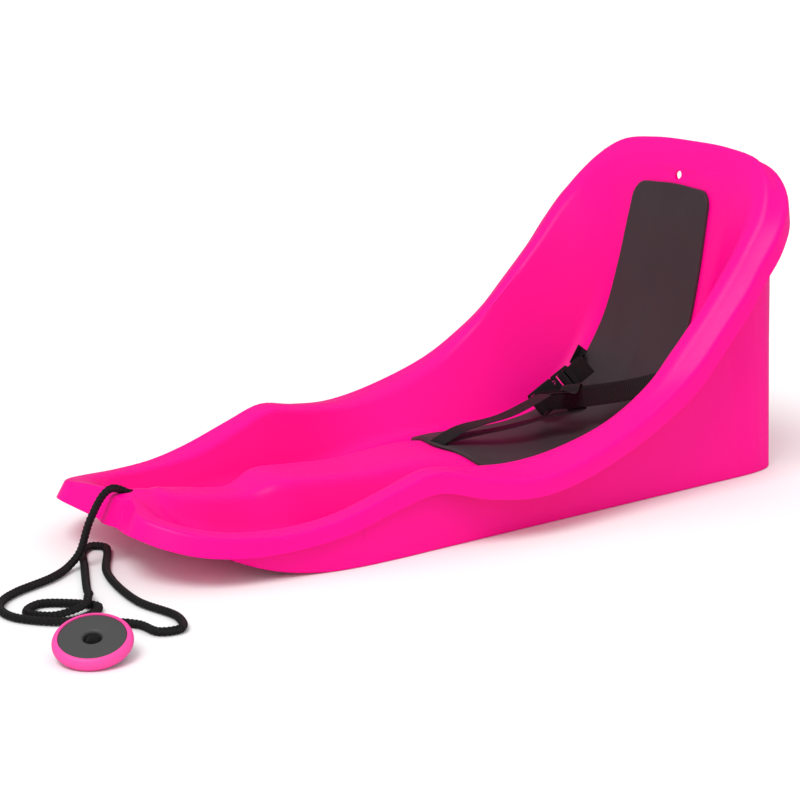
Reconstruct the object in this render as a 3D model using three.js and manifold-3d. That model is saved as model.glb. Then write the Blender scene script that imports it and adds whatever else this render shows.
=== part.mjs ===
// Baby pull sled: one moulded shell with a seat, foot wells and a rim all round,
// a soft seat pad, a three-point lap harness with a side-release buckle,
// and a braided pull rope with a round handle. Millimetres, +Z up, nose towards -Y,
// origin on the ground under the middle of the shell.

import * as THREE from 'three';
import { mergeVertices } from 'three/addons/utils/BufferGeometryUtils.js';
import Module from 'manifold-3d';

const wasm = await Module();
wasm.setup();

// Overall size of the shell
const sledLength = 848;
const sledWidth = 412;
const sledHeight = 368;

// Walls of the moulding
const shellWall = 3.5;
const hullWall = 3.5;
const runnerFootWidth = 11;
const runnerFootHeight = 9;
const bowRadius = 265;
const bowStart = -231;

// Corner roundings across the shell, from the centre ridge out to the lip
const crownReach = 13;
const footReach = 16;
const baseReach = 26;
const innerReach = 8;
const crestReach = 11;
const outerReach = 7;

// Holes in the shell
const ropeHoleDiameter = 12;
const hangHoleDiameter = 11;
const hangHoleDrop = 3;
const slotWidth = 6.4;
const slotLength = 29;
const cutDepth = 30;
const cutOverrun = 2;
const ropeHoleTilt = 40;
const ropeHoleY = -384;
const ropeHoleZ = 70;

// Fits
const seatGap = 0.3;
const weldGap = 1e-4;

// Seat pad
const padThickness = 4.5;
const padFrontHalfWidth = 78;
const padSeatHalfWidth = 86;
const padTopHalfWidth = 65;
const padTopDrop = 49;
const padTopCrown = 12;
const padTopCorner = 16;
const padFrontY = 12;
const padFrontSetback = 20;
const padGap = 0.6;
const padRows = 22;
const padColumns = 10;
const padHipShare = 0.38;
const padTaperPower = 0.8;
const padEdgeShare = 0.35;
const padEdgePower = 6;

// Harness webbing
const strapWidth = 25;
const strapThickness = 1.2;
const lapSlotX = 77;
const lapSlotZ = 92;
const crotchSlotY = 18;
const anchorPinDiameter = 5;
const anchorPinLength = 38;
const tailLength = 22;
const strapSteps = 16;
const crotchSteps = 14;
const strapLift = 2.5;
const loopGap = 2.6;
const crotchLoopShare = 0.72;
const crotchLowShares = [[0, 0.56, 0.155], [-0.02, 0.64, 0.15], [-0.06, 0.715, 0.15]];
const crotchHighShares = [[0, 0.56, 0.18], [-0.02, 0.64, 0.19], [-0.06, 0.72, 0.225]];
const rightLapShares = [[-0.33, 0.84, 0.262]];
const leftLapShares = [[0.218, 0.816, 0.24], [0.058, 0.775, 0.215]];

// Side-release buckle, in its own frame: x along the pull, y across, z through it
const buckleAimShares = [0.332, 0.717, 0.612];
const buckleFaceShares = [0.779, -0.577, 0.253];
const bucklePlaceShares = [-0.267, 0.744, 0.15];
const buckleEdge = 0.8;
const buckleWidth = 33;
const buckleThickness = 11;
const webBar = 3.4;
const webOpening = 5.4;
const socketLength = 35;
const socketWall = 2;
const mouthWidth = 25;
const windowStart = 14;
const windowLength = 13;
const plugLength = 25.5;
const plugThickness = 5;
const ladderOpening = 4.4;
const ladderBar = 4;
const tongueWidth = 6;
const tongueReach = 19;
const tongueRound = 1;
const armRootWidth = 2.6;
const armRootInset = 8.7;
const armReach = 20;
const barbWidth = 4.4;
const barbLength = 10;
const runningGap = 0.4;

// Pull rope and its round handle
const ropeDiameter = 8;
const ropeSides = 8;
const ropeSteps = 80;
const knotDiameter = 17;
const knotFacets = 10;
const handleX = 227.3;
const handleY = -545.5;
const handleZ = 16;
const handleTilt = 18;
const handleTurn = 53;
const handleDiameter = 74;
const handleThickness = 13;
const handleEdgeRound = 5.5;
const faceDiameter = 62;
const faceThickness = 11;
const handleHoleDiameter = 17;
const handleKnotDiameter = 15.4;
const knotSink = -1.5;
const edgeSteps = 3;
const ringFacets = 32;

const material = (color, roughness) => new THREE.MeshStandardMaterial({ color, roughness, metalness: 0 });
const finishes = {
  shell: () => material(0xff0090, 0.42),
  pad: () => material(0x453a3e, 0.7),
  webbing: () => material(0x17161a, 0.85),
  buckle: () => material(0x141316, 0.45),
  rope: () => material(0x121214, 0.85),
  ring: () => material(0xff5fb4, 0.4),
  face: () => material(0x4d4d4f, 0.6),
};

const sled = new THREE.Group();

function addPiece(name, geometry, finish, parent = sled) {
  const mesh = new THREE.Mesh(geometry, finish());
  mesh.name = name;
  parent.add(mesh);
  return mesh;
}

// Solids and booleans
function bareMesh(positions, triangles) {
  const geometry = new THREE.BufferGeometry();
  geometry.setAttribute('position', new THREE.Float32BufferAttribute(positions, 3));
  geometry.setIndex(triangles);
  return geometry;
}

function toSolid(geometry) {
  const bare = geometry.clone();
  bare.deleteAttribute('normal');
  bare.deleteAttribute('uv');
  const merged = mergeVertices(bare, weldGap);
  return new wasm.Manifold(new wasm.Mesh({
    numProp: 3,
    vertProperties: new Float32Array(merged.attributes.position.array),
    triVerts: new Uint32Array(merged.index.array),
  }));
}

function fromSolid(solid) {
  const mesh = solid.getMesh();
  const positions = [];
  for (let i = 0; i < mesh.numVert; i += 1) {
    positions.push(...mesh.vertProperties.slice(i * mesh.numProp, i * mesh.numProp + 3));
  }
  return bareMesh(positions, Array.from(mesh.triVerts));
}

function placed(geometry, matrix) {
  return geometry.clone().applyMatrix4(matrix);
}

// Frame with its x, y and z axes and its origin given
function frameAt(origin, xAxis, yAxis, zAxis) {
  return new THREE.Matrix4().makeBasis(xAxis, yAxis, zAxis).setPosition(origin);
}

// Stations of the right half of the shell, from the middle of the nose round the side
// to the middle of the back. Heights are shares of the height, x shares of the half width,
// y shares of the length from the nose. Each row holds: ridge [y, z]; crown share, foot share
// and well share; base [x, y, z above the floor]; inner rim edge [x, y, z]; outer rim edge
// [x, y, z]; rim [rise, lip drop, lip flare]; hull foot [x, y] and the rail it rises to.
const stationShares = [
  [[0.093, 0.185], [0.35, 0.65, 0], [0, 0.059, 0.185], [0, 0.047, 0.194], [0, 0.028, 0.185],
    [0.003, 0.071, 0.033], [0.485, 0.061, 6.6]],
  [[0.096, 0.183], [0.35, 0.65, 0], [0.068, 0.059, 0.175], [0.083, 0.048, 0.186], [0.097, 0.038, 0.185],
    [0.003, 0.071, 0.046], [0.485, 0.061, 6.6]],
  [[0.099, 0.181], [0.3, 0.55, 0.5], [0.175, 0.059, 0.148], [0.214, 0.046, 0.175], [0.233, 0.028, 0.189],
    [0.003, 0.067, 0.041], [0.485, 0.061, 6.6]],
  [[0.106, 0.177], [0.28, 0.5, 0.9], [0.301, 0.064, 0.12], [0.34, 0.047, 0.164], [0.359, 0.014, 0.189],
    [0.003, 0.052, 0.03], [0.485, 0.061, 6.6]],
  [[0.12, 0.168], [0.25, 0.45, 1], [0.417, 0.078, 0.088], [0.471, 0.061, 0.155], [0.51, 0.032, 0.168],
    [0.003, 0.052, 0.027], [0.485, 0.061, 6.6]],
  [[0.143, 0.158], [0.22, 0.42, 1], [0.5, 0.106, 0.056], [0.573, 0.094, 0.14], [0.641, 0.068, 0.145],
    [0.003, 0.052, 0.022], [0.592, 0.085, 6.6]],
  [[0.172, 0.144], [0.2, 0.4, 1], [0.534, 0.144, 0.026], [0.617, 0.14, 0.129], [0.723, 0.124, 0.129],
    [0.003, 0.049, 0.016], [0.709, 0.132, 6.6]],
  [[0.205, 0.137], [0.2, 0.4, 1], [0.549, 0.196, 0.009], [0.641, 0.193, 0.128], [0.772, 0.186, 0.129],
    [0.003, 0.043, 0.014], [0.772, 0.191, 6.6]],
  [[0.248, 0.163], [0.3, 0.52, 1], [0.558, 0.245, 0], [0.65, 0.245, 0.141], [0.801, 0.243, 0.152],
    [0.004, 0.049, 0.011], [0.816, 0.245, 6.6]],
  [[0.304, 0.152], [0.32, 0.55, 1], [0.568, 0.307, 0], [0.675, 0.309, 0.185], [0.818, 0.307, 0.196],
    [0.005, 0.054, 0.008], [0.83, 0.307, 6.4]],
  [[0.366, 0.141], [0.32, 0.55, 1], [0.573, 0.368, 0], [0.697, 0.363, 0.224], [0.845, 0.366, 0.23],
    [0.005, 0.06, 0.008], [0.83, 0.366, 6.1]],
  [[0.427, 0.144], [0.33, 0.6, 0.9], [0.573, 0.432, 0.015], [0.701, 0.427, 0.208], [0.922, 0.429, 0.198],
    [0.007, 0.06, 0.008], [0.83, 0.429, 5.3]],
  [[0.489, 0.144], [0.35, 0.65, 0.6], [0.549, 0.5, 0.061], [0.714, 0.498, 0.194], [0.982, 0.498, 0.178],
    [0.008, 0.054, 0.008], [0.83, 0.498, 4.85]],
  [[0.559, 0.12], [0.35, 0.7, 0.2], [0.505, 0.566, 0.083], [0.738, 0.568, 0.209], [0.986, 0.571, 0.201],
    [0.008, 0.054, 0.008], [0.83, 0.568, 4.65]],
  [[0.646, 0.087], [0.35, 0.7, 0], [0.485, 0.646, 0.08], [0.767, 0.653, 0.266], [0.962, 0.67, 0.272],
    [0.008, 0.057, 0.008], [0.83, 0.653, 4.4]],
  [[0.724, 0.076], [0.35, 0.7, 0], [0.481, 0.719, 0.08], [0.782, 0.719, 0.356], [0.955, 0.736, 0.353],
    [0.011, 0.065, 0.008], [0.83, 0.719, 4.05]],
  [[0.795, 0.101], [0.35, 0.7, 0], [0.476, 0.783, 0.107], [0.777, 0.762, 0.443], [0.954, 0.777, 0.418],
    [0.014, 0.068, 0.008], [0.83, 0.774, 4]],
  [[0.84, 0.171], [0.35, 0.7, 0], [0.476, 0.825, 0.175], [0.769, 0.795, 0.514], [0.948, 0.809, 0.492],
    [0.016, 0.071, 0.008], [0.83, 0.814, 4]],
  [[0.869, 0.264], [0.35, 0.7, 0], [0.471, 0.857, 0.265], [0.765, 0.821, 0.576], [0.944, 0.835, 0.552],
    [0.016, 0.071, 0.008], [0.83, 0.851, 4.1]],
  [[0.897, 0.408], [0.35, 0.7, 0], [0.461, 0.892, 0.404], [0.757, 0.849, 0.647], [0.941, 0.861, 0.614],
    [0.019, 0.071, 0.008], [0.83, 0.889, 4.3]],
  [[0.919, 0.584], [0.35, 0.7, 0], [0.451, 0.913, 0.575], [0.752, 0.882, 0.739], [0.931, 0.889, 0.696],
    [0.022, 0.071, 0.008], [0.82, 0.927, 4.8]],
  [[0.932, 0.739], [0.35, 0.7, 0], [0.447, 0.927, 0.73], [0.714, 0.913, 0.823], [0.913, 0.925, 0.788],
    [0.027, 0.071, 0.008], [0.777, 0.958, 5.4]],
  [[0.94, 0.832], [0.35, 0.7, 0], [0.442, 0.938, 0.846], [0.636, 0.935, 0.891], [0.816, 0.962, 0.875],
    [0.038, 0.071, 0.008], [0.67, 0.976, 5.4]],
  [[0.943, 0.875], [0.35, 0.7, 0], [0.393, 0.946, 0.9], [0.515, 0.949, 0.932], [0.631, 0.983, 0.943],
    [0.046, 0.071, 0.008], [0.476, 0.985, 4.2]],
  [[0.946, 0.894], [0.35, 0.7, 0], [0.233, 0.949, 0.908], [0.282, 0.953, 0.94], [0.33, 0.993, 0.973],
    [0.052, 0.071, 0.008], [0.243, 0.986, 2.2]],
  [[0.946, 0.902], [0.35, 0.7, 0], [0, 0.949, 0.91], [0, 0.954, 0.943], [0, 0.995, 0.978],
    [0.052, 0.071, 0.008], [0, 0.986, 0.3]],
];
const crestShare = 0.4;
const dipShare = 0.5;
const dipSinkShare = 0.3;
const lastStation = stationShares.length - 1;
const firstHullStation = 4;
const shellSamples = 28;
const hullSamples = 26;
const hullSinkShare = 0.6;
const maxReachShare = 0.45;
const seatFrontStation = 10;
const seatDipStation = 15;
const bisections = 40;
const probeShare = 0.2;
const probeReach = 6;
const slotFacets = 4;
const holeFacets = 20;
const roundEndShare = 0.49;
const endTaperShare = 0.5;
const pinFacets = 12;
const turnSteps = 8;
const turnOverlapShare = -0.04;

const atX = (share) => share * sledWidth / 2;
const atY = (share) => (share - 1 / 2) * sledLength;
const atZ = (share) => share * sledHeight;
const point = (x, y, z) => new THREE.Vector3(x, y, z);

// Closed curve through the stations of one rail and their mirror images
function railCurve(stations) {
  const mirrored = stations.slice(1, -1).reverse().map((p) => point(-p.x, p.y, p.z));
  return new THREE.CatmullRomCurve3([...stations, ...mirrored], true, 'centripetal');
}

// Rails of the shell, each a closed curve round the sled
function shellRails() {
  const ridge = stationShares.map(([r]) => point(0, atY(r[0]), atZ(r[1])));
  const base = stationShares.map((row) => point(atX(row[2][0]), atY(row[2][1]), shellWall + atZ(row[2][2])));
  const inner = stationShares.map((row) => point(atX(row[3][0]), atY(row[3][1]), atZ(row[3][2])));
  const outer = stationShares.map((row) => point(atX(row[4][0]), atY(row[4][1]), atZ(row[4][2])));
  const crown = [];
  const foot = [];
  const crest = [];
  const dip = [];
  const lip = [];
  const outerCurve = railCurve(outer);
  stationShares.forEach((row, i) => {
    const [crownShare, footShare, wellShare] = row[1];
    const [riseShare, dropShare, flareShare] = row[5];
    crown.push(point().lerpVectors(ridge[i], base[i], crownShare).setZ(ridge[i].z));
    const slope = point().lerpVectors(ridge[i], base[i], footShare);
    foot.push(slope.setZ(THREE.MathUtils.lerp(slope.z, base[i].z, wellShare)));
    crest.push(point().lerpVectors(inner[i], outer[i], crestShare).add(point(0, 0, atZ(riseShare))));
    const sink = point(0, 0, -atZ(riseShare) * dipSinkShare);
    dip.push(point().lerpVectors(crest[i], outer[i], dipShare).add(sink));
    const along = outerCurve.getTangent(i / (2 * lastStation));
    const outward = point(along.y, -along.x, 0).setLength(atZ(flareShare));
    lip.push(outer[i].clone().add(outward).add(point(0, 0, -atZ(dropShare))));
  });
  return [ridge, crown, foot, base, inner, crest, dip, outer, lip].map(railCurve);
}

const rails = shellRails();
const railReaches = [0, crownReach, footReach, baseReach, innerReach, crestReach, crestReach, outerReach, 0];
const railSamples = [1, 2, 3, 3, 3, 2, 1, 3, 1];

// Points of the rails at one station, kept in the middle plane at both ends
function railPoints(station) {
  const points = rails.map((rail) => rail.getPoint(station / (2 * lastStation)));
  points[0].x = 0;
  if (station === 0 || station === lastStation) points.forEach((p) => p.setX(0));
  points.forEach((p) => p.setZ(Math.max(p.z, shellWall)));
  return points;
}

// Cross-section with each corner rounded by a quadratic arc
function shellSection(station) {
  const corners = railPoints(station);
  const section = [];
  corners.forEach((corner, i) => {
    if (railSamples[i] === 1) {
      section.push(corner.clone());
      return;
    }
    const before = point().subVectors(corners[i - 1], corner);
    const after = point().subVectors(corners[i + 1], corner);
    const reach = Math.min(railReaches[i], before.length() * maxReachShare, after.length() * maxReachShare);
    const start = before.setLength(reach).add(corner);
    const end = after.setLength(reach).add(corner);
    for (let k = 0; k < railSamples[i]; k += 1) {
      const t = k / (railSamples[i] - 1);
      const p = point().addScaledVector(start, (1 - t) ** 2);
      section.push(p.addScaledVector(corner, 2 * t * (1 - t)).addScaledVector(end, t ** 2));
    }
  });
  return section;
}

// Grid of points over the whole top of the shell: one column for each station round the
// loop, one row from the ridge to the lip, with the left half mirrored exactly
function skinGrid() {
  const half = [];
  for (let j = 0; j <= shellSamples; j += 1) {
    half.push(shellSection(lastStation * j / shellSamples));
  }
  const mirrored = half.slice(1, -1).reverse().map((column) => column.map((p) => point(-p.x, p.y, p.z)));
  return [...half, ...mirrored];
}

// Outward normals of a grid, from the faces that meet at each point. The ridge is the
// meeting line of the two halves, so its normals are shared across it.
function gridNormals(grid) {
  const columns = grid.length;
  const normals = grid.map((column) => column.map(() => point()));
  for (let j = 0; j < columns; j += 1) {
    for (let i = 0; i + 1 < grid[j].length; i += 1) {
      const next = (j + 1) % columns;
      const diagonal = point().subVectors(grid[next][i + 1], grid[j][i]);
      const across = point().subVectors(grid[j][i + 1], grid[next][i]);
      const face = diagonal.cross(across).negate();
      [[j, i], [next, i], [j, i + 1], [next, i + 1]].forEach(([a, b]) => normals[a][b].add(face));
    }
  }
  for (let j = 0; j <= columns / 2; j += 1) {
    const opposite = (columns - j) % columns;
    const shared = normals[j][0].clone().add(normals[opposite][0]).setX(0);
    normals[j][0].copy(shared);
    normals[opposite][0].copy(shared);
  }
  normals.forEach((column) => column.forEach((n) => n.normalize()));
  return normals;
}

// Closed skin between a grid and the same grid moved along its normals
function thickGrid(top, bottom) {
  const columns = top.length;
  const rows = top[0].length;
  const positions = [];
  const triangles = [];
  [...top.flat(), ...bottom.flat()].forEach((p) => positions.push(p.x, p.y, p.z));
  const index = (layer, j, i) => (layer * columns + j % columns) * rows + i;
  const quad = (a, b, c, d) => triangles.push(a, b, c, a, c, d);
  for (let j = 0; j < columns; j += 1) {
    for (let i = 0; i + 1 < rows; i += 1) {
      quad(index(0, j, i), index(0, j, i + 1), index(0, j + 1, i + 1), index(0, j + 1, i));
      quad(index(1, j, i), index(1, j + 1, i), index(1, j + 1, i + 1), index(1, j, i + 1));
    }
    const last = rows - 1;
    quad(index(0, j, last), index(1, j, last), index(1, j + 1, last), index(0, j + 1, last));
  }
  return bareMesh(positions, triangles);
}

// Hull wall: a thin upright wall under the rim, from the side of the nose round the back,
// with a wider flat foot that runs on the ground and sweeps up at the bow
function bowHeight(y) {
  const ahead = Math.max(0, bowStart - y);
  return bowRadius - Math.sqrt(bowRadius ** 2 - ahead ** 2);
}

function hullFootCurve() {
  const feet = stationShares.slice(firstHullStation).map((row) => row[6]);
  const half = feet.map(([x, y]) => point(atX(x), atY(y), 0));
  const mirrored = half.slice(0, -1).reverse().map((p) => point(-p.x, p.y, 0));
  return new THREE.CatmullRomCurve3([...half, ...mirrored], false, 'centripetal');
}

// Point of the skin that the hull wall rises to, given as a place between two rails
function hullTop(station) {
  const before = stationShares[Math.floor(station)][6][2];
  const after = stationShares[Math.min(Math.ceil(station), lastStation)][6][2];
  const rail = THREE.MathUtils.lerp(before, after, station % 1);
  const points = railPoints(station);
  const first = Math.floor(rail);
  const top = point().lerpVectors(points[first], points[first + 1], rail - first);
  return top.add(point(0, 0, -shellWall * hullSinkShare));
}

function hullSections() {
  const foot = hullFootCurve();
  const spans = 2 * (lastStation - firstHullStation);
  const sections = [];
  for (let j = 0; j <= 2 * hullSamples; j += 1) {
    const along = j / (2 * hullSamples);
    const station = firstHullStation + spans * Math.min(along, 1 - along);
    const bottom = foot.getPoint(along);
    const tangent = foot.getTangent(along);
    const outward = point(tangent.y, -tangent.x, 0).normalize();
    bottom.setZ(bowHeight(bottom.y));
    const top = hullTop(station);
    if (along > 1 / 2) top.setX(-top.x);
    const foothold = Math.min(runnerFootHeight, (top.z - bottom.z) / 2);
    const innerTop = top.clone().addScaledVector(outward, -hullWall / 2);
    const outerTop = top.clone().addScaledVector(outward, hullWall / 2);
    const step = point().lerpVectors(bottom, outerTop, foothold / (top.z - bottom.z));
    const innerStep = step.clone().addScaledVector(outward, -hullWall);
    const footStep = step.clone().addScaledVector(outward, -runnerFootWidth);
    const innerFoot = bottom.clone().addScaledVector(outward, -runnerFootWidth);
    sections.push([innerStep, footStep, innerFoot, bottom, outerTop, innerTop]);
  }
  return sections;
}

// Solid through a row of like sections, closed at both ends by fans from the first point
function loft(sections) {
  const count = sections[0].length;
  const positions = [];
  const triangles = [];
  sections.forEach((section) => section.forEach((p) => positions.push(p.x, p.y, p.z)));
  for (let j = 0; j + 1 < sections.length; j += 1) {
    for (let i = 0; i < count; i += 1) {
      const a = j * count + i;
      const b = j * count + (i + 1) % count;
      triangles.push(a, b + count, b, a, a + count, b + count);
    }
  }
  const last = (sections.length - 1) * count;
  for (let i = 1; i + 1 < count; i += 1) {
    triangles.push(0, i, i + 1);
    triangles.push(last, last + i + 1, last + i);
  }
  return bareMesh(positions, triangles);
}

// Place on the top of the shell: the station whose ridge reaches a given y or z share, and
// a distance out from the middle. Returns a frame with x across, y along and z out of the face.
function stationWhere(measure, wanted, from, to) {
  let low = from;
  let high = to;
  for (let k = 0; k < bisections; k += 1) {
    const middle = (low + high) / 2;
    if (measure(rails[0].getPoint(middle / (2 * lastStation))) < wanted) low = middle;
    else high = middle;
  }
  return (low + high) / 2;
}

function surfacePoint(station, x) {
  const section = shellSection(station);
  const side = Math.abs(x);
  const i = Math.max(1, section.findIndex((p, k) => k > 0 && p.x > side));
  const share = (side - section[i - 1].x) / (section[i].x - section[i - 1].x);
  const p = point().lerpVectors(section[i - 1], section[i], share);
  return point(x, p.y, p.z);
}

function surfaceFrame(station, x) {
  const origin = surfacePoint(station, x);
  const along = surfacePoint(station + probeShare, x).sub(surfacePoint(station - probeShare, x)).normalize();
  const across = surfacePoint(station, x + probeReach).sub(surfacePoint(station, x - probeReach));
  const out = point().crossVectors(across, along).normalize();
  return frameAt(origin, point().crossVectors(along, out), along, out);
}

const crotchStation = stationWhere((p) => p.y, crotchSlotY, seatFrontStation, seatDipStation);
const lapStation = stationWhere((p) => p.z, lapSlotZ, seatDipStation, lastStation);
const backTop = atZ(stationShares[lastStation][0][1]);
const hangStation = stationWhere((p) => p.z, backTop - hangHoleDrop, seatDipStation, lastStation);

// Slot with round ends, cut through along z, its long side along x or y
function slotCutter(frame, alongY) {
  const outline = roundedOutline(slotLength, slotWidth, slotWidth * roundEndShare);
  const cut = { depth: 2 * cutDepth, bevelEnabled: false, curveSegments: slotFacets };
  const cutter = new THREE.ExtrudeGeometry(outline, cut);
  cutter.translate(0, 0, -cutDepth);
  if (alongY) cutter.rotateZ(Math.PI / 2);
  return toSolid(placed(cutter, frame));
}

function roundedOutline(width, height, radius) {
  const x = width / 2;
  const y = height / 2;
  const shape = new THREE.Shape();
  shape.moveTo(x - radius, -y);
  shape.absarc(x - radius, radius - y, radius, -Math.PI / 2, 0);
  shape.absarc(x - radius, y - radius, radius, 0, Math.PI / 2);
  shape.absarc(radius - x, y - radius, radius, Math.PI / 2, Math.PI);
  shape.absarc(radius - x, radius - y, radius, Math.PI, 3 * Math.PI / 2);
  return shape;
}

function pinCutter(diameter, frame) {
  const pin = new THREE.CylinderGeometry(diameter / 2, diameter / 2, 2 * cutDepth, holeFacets);
  pin.rotateX(Math.PI / 2);
  return toSolid(placed(pin, frame));
}

const slotFrames = {
  right: surfaceFrame(lapStation, -lapSlotX),
  left: surfaceFrame(lapStation, lapSlotX),
  crotch: surfaceFrame(crotchStation, 0),
};

function slotCutters() {
  return [
    slotCutter(slotFrames.right, true),
    slotCutter(slotFrames.left, true),
    slotCutter(slotFrames.crotch, false),
  ];
}

// Tilted hole in the nose, so that the rope leaves forwards over the front edge
const ropeHoleFrame = new THREE.Matrix4().makeRotationX(Math.PI / 2 - THREE.MathUtils.degToRad(ropeHoleTilt));
ropeHoleFrame.setPosition(0, ropeHoleY, ropeHoleZ);

const topGrid = skinGrid();
const topNormals = gridNormals(topGrid);

function offsetGrid(grid, normals, offset) {
  return grid.map((column, j) => column.map((p, i) => p.clone().addScaledVector(normals[j][i], offset)));
}

function makeShell() {
  const under = offsetGrid(topGrid, topNormals, -shellWall);
  let shell = toSolid(thickGrid(topGrid, under)).add(toSolid(loft(hullSections())));
  slotCutters().forEach((cutter) => {
    shell = shell.subtract(cutter);
  });
  shell = shell.subtract(pinCutter(ropeHoleDiameter, ropeHoleFrame));
  shell = shell.subtract(pinCutter(hangHoleDiameter, surfaceFrame(hangStation, 0)));
  return fromSolid(shell);
}

addPiece('shell', makeShell(), finishes.shell);


// Seat pad: a soft mat that follows the seat and the backrest, wider at the seat, with a
// crowned top with round corners and a front edge that runs back towards its corners
function padHalfWidth(up) {
  const hips = THREE.MathUtils.lerp(padFrontHalfWidth, padSeatHalfWidth, Math.min(1, up / padHipShare));
  const taper = Math.max(0, (up - padHipShare) / (1 - padHipShare));
  return THREE.MathUtils.lerp(hips, padTopHalfWidth, taper ** padTaperPower);
}

function padPoint(u, v, lift) {
  const x = Math.sin(u * Math.PI / 2) * padHalfWidth(v);
  const side = Math.abs(x);
  const corner = Math.max(0, side - (padTopHalfWidth - padTopCorner));
  const cornerDrop = padTopCorner - Math.sqrt(Math.max(0, padTopCorner ** 2 - corner ** 2));
  const topZ = sledHeight - padTopDrop - padTopCrown * (side / padTopHalfWidth) ** 2 - cornerDrop;
  const frontY = padFrontY + padFrontSetback * (side / padFrontHalfWidth) ** 2;
  const first = stationWhere((p) => p.y, frontY, seatFrontStation, seatDipStation);
  const last = stationWhere((p) => p.z, topZ, seatDipStation, lastStation);
  const frame = surfaceFrame(THREE.MathUtils.lerp(first, last, v), x);
  return point(0, 0, lift).applyMatrix4(frame);
}

function padSections() {
  const sections = [];
  for (let j = 0; j <= padRows; j += 1) {
    const section = [];
    const v = (1 - Math.cos(Math.PI * j / padRows)) / 2;
    for (let i = 0; i <= padColumns; i += 1) section.push(padPoint(2 * i / padColumns - 1, v, padGap));
    for (let i = padColumns - 1; i > 0; i -= 1) {
      const u = 2 * i / padColumns - 1;
      section.push(padPoint(u, v, padGap + padThickness * (1 - padEdgeShare * Math.abs(u) ** padEdgePower)));
    }
    sections.push(section);
  }
  return sections;
}

// Solid between two stacked strips of points, closed at both ends by strips across
function stripSolid(sections, columns) {
  const count = sections[0].length;
  const positions = [];
  const triangles = [];
  sections.forEach((section) => section.forEach((p) => positions.push(p.x, p.y, p.z)));
  for (let j = 0; j + 1 < sections.length; j += 1) {
    for (let i = 0; i < count; i += 1) {
      const a = j * count + i;
      const b = j * count + (i + 1) % count;
      triangles.push(a, b, b + count, a, b + count, a + count);
    }
  }
  const last = (sections.length - 1) * count;
  for (let i = 0; i < columns; i += 1) {
    const c = (count - i) % count;
    const d = count - i - 1;
    [[i + 1, i, c], [i + 1, c, d]].forEach(([p, q, r]) => {
      if (p === q || q === r || p === r) return;
      triangles.push(p, q, r);
      triangles.push(last + p, last + r, last + q);
    });
  }
  return bareMesh(positions, triangles);
}

function largestOf(solid) {
  return solid.decompose().reduce((best, next) => (next.volume() > best.volume() ? next : best));
}

function makePad() {
  const clearance = toSolid(thickGrid(offsetGrid(topGrid, topNormals, padGap), topGrid));
  let pad = toSolid(turned(stripSolid(padSections(), padColumns))).subtract(clearance);
  slotCutters().forEach((cutter) => {
    pad = pad.subtract(cutter);
  });
  return fromSolid(largestOf(pad));
}

addPiece('seat_pad', makePad(), finishes.pad);

// Flat webbing along a row of points, with the direction of its width given at each point
function ribbon(points, widths, width, thickness) {
  const sections = points.map((p, i) => {
    const before = points[Math.max(0, i - 1)];
    const after = points[Math.min(points.length - 1, i + 1)];
    const along = point().subVectors(after, before).normalize();
    const across = widths[i].clone().addScaledVector(along, -along.dot(widths[i])).setLength(width / 2);
    const out = point().crossVectors(along, across).setLength(thickness / 2);
    return [
      p.clone().add(across).add(out),
      p.clone().sub(across).add(out),
      p.clone().sub(across).sub(out),
      p.clone().add(across).sub(out),
    ];
  });
  const solid = loft(sections);
  return toSolid(solid).volume() > 0 ? solid : turned(solid);
}

function turned(geometry) {
  geometry.setIndex(Array.from(geometry.index.array).reverse());
  return geometry;
}

// Points of a smooth line through a few places, evenly spaced
function smoothLine(places, count) {
  return new THREE.CatmullRomCurve3(places, false, 'centripetal').getSpacedPoints(count);
}

function blendDirections(first, last, count) {
  const directions = [];
  for (let i = 0; i < count; i += 1) {
    directions.push(point().lerpVectors(first, last, i / (count - 1)).normalize());
  }
  return directions;
}

// Webbing loop round the anchor bar behind a slot, in the slot's frame: it comes down one
// side of the slot, round the bar and up the other side. Given as [across the slot, out].
const anchorDepth = shellWall + seatGap + anchorPinDiameter / 2;
const anchorTurn = anchorPinDiameter / 2 + seatGap + strapThickness / 2;

function anchorLoop() {
  const loop = [];
  const mouth = slotWidth / 2 - seatGap - strapThickness / 2;
  const lay = (strapThickness + seatGap) / 2 + seatGap / 2;
  loop.push([lay, tailLength], [lay, tailLength / 2], [lay, padGap + padThickness + strapThickness]);
  loop.push([mouth, 0], [mouth, -shellWall]);
  for (let k = 0; k <= turnSteps; k += 1) {
    const angle = -Math.PI * (turnOverlapShare + (1 - 2 * turnOverlapShare) * k / turnSteps);
    loop.push([anchorTurn * Math.cos(angle), anchorTurn * Math.sin(angle) - anchorDepth]);
  }
  loop.push([-mouth, -shellWall], [-mouth, 0]);
  loop.push([-lay, padGap + padThickness + strapThickness], [-lay, tailLength / 2]);
  return loop;
}

function anchorBar(frame, alongY) {
  const round = anchorPinDiameter / 2;
  const bar = new THREE.LatheGeometry([
    new THREE.Vector2(0, -anchorPinLength / 2),
    new THREE.Vector2(round * endTaperShare, -anchorPinLength / 2),
    new THREE.Vector2(round, round - anchorPinLength / 2),
    new THREE.Vector2(round, anchorPinLength / 2 - round),
    new THREE.Vector2(round * endTaperShare, anchorPinLength / 2),
    new THREE.Vector2(0, anchorPinLength / 2),
  ], pinFacets);
  if (!alongY) bar.rotateZ(Math.PI / 2);
  bar.translate(0, 0, -anchorDepth);
  return placed(bar, frame);
}

const intoWorld = (frame, across, along, out) => point(across, along, out).applyMatrix4(frame);
const turnInto = (frame, direction) => direction.clone().transformDirection(frame);

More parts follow.
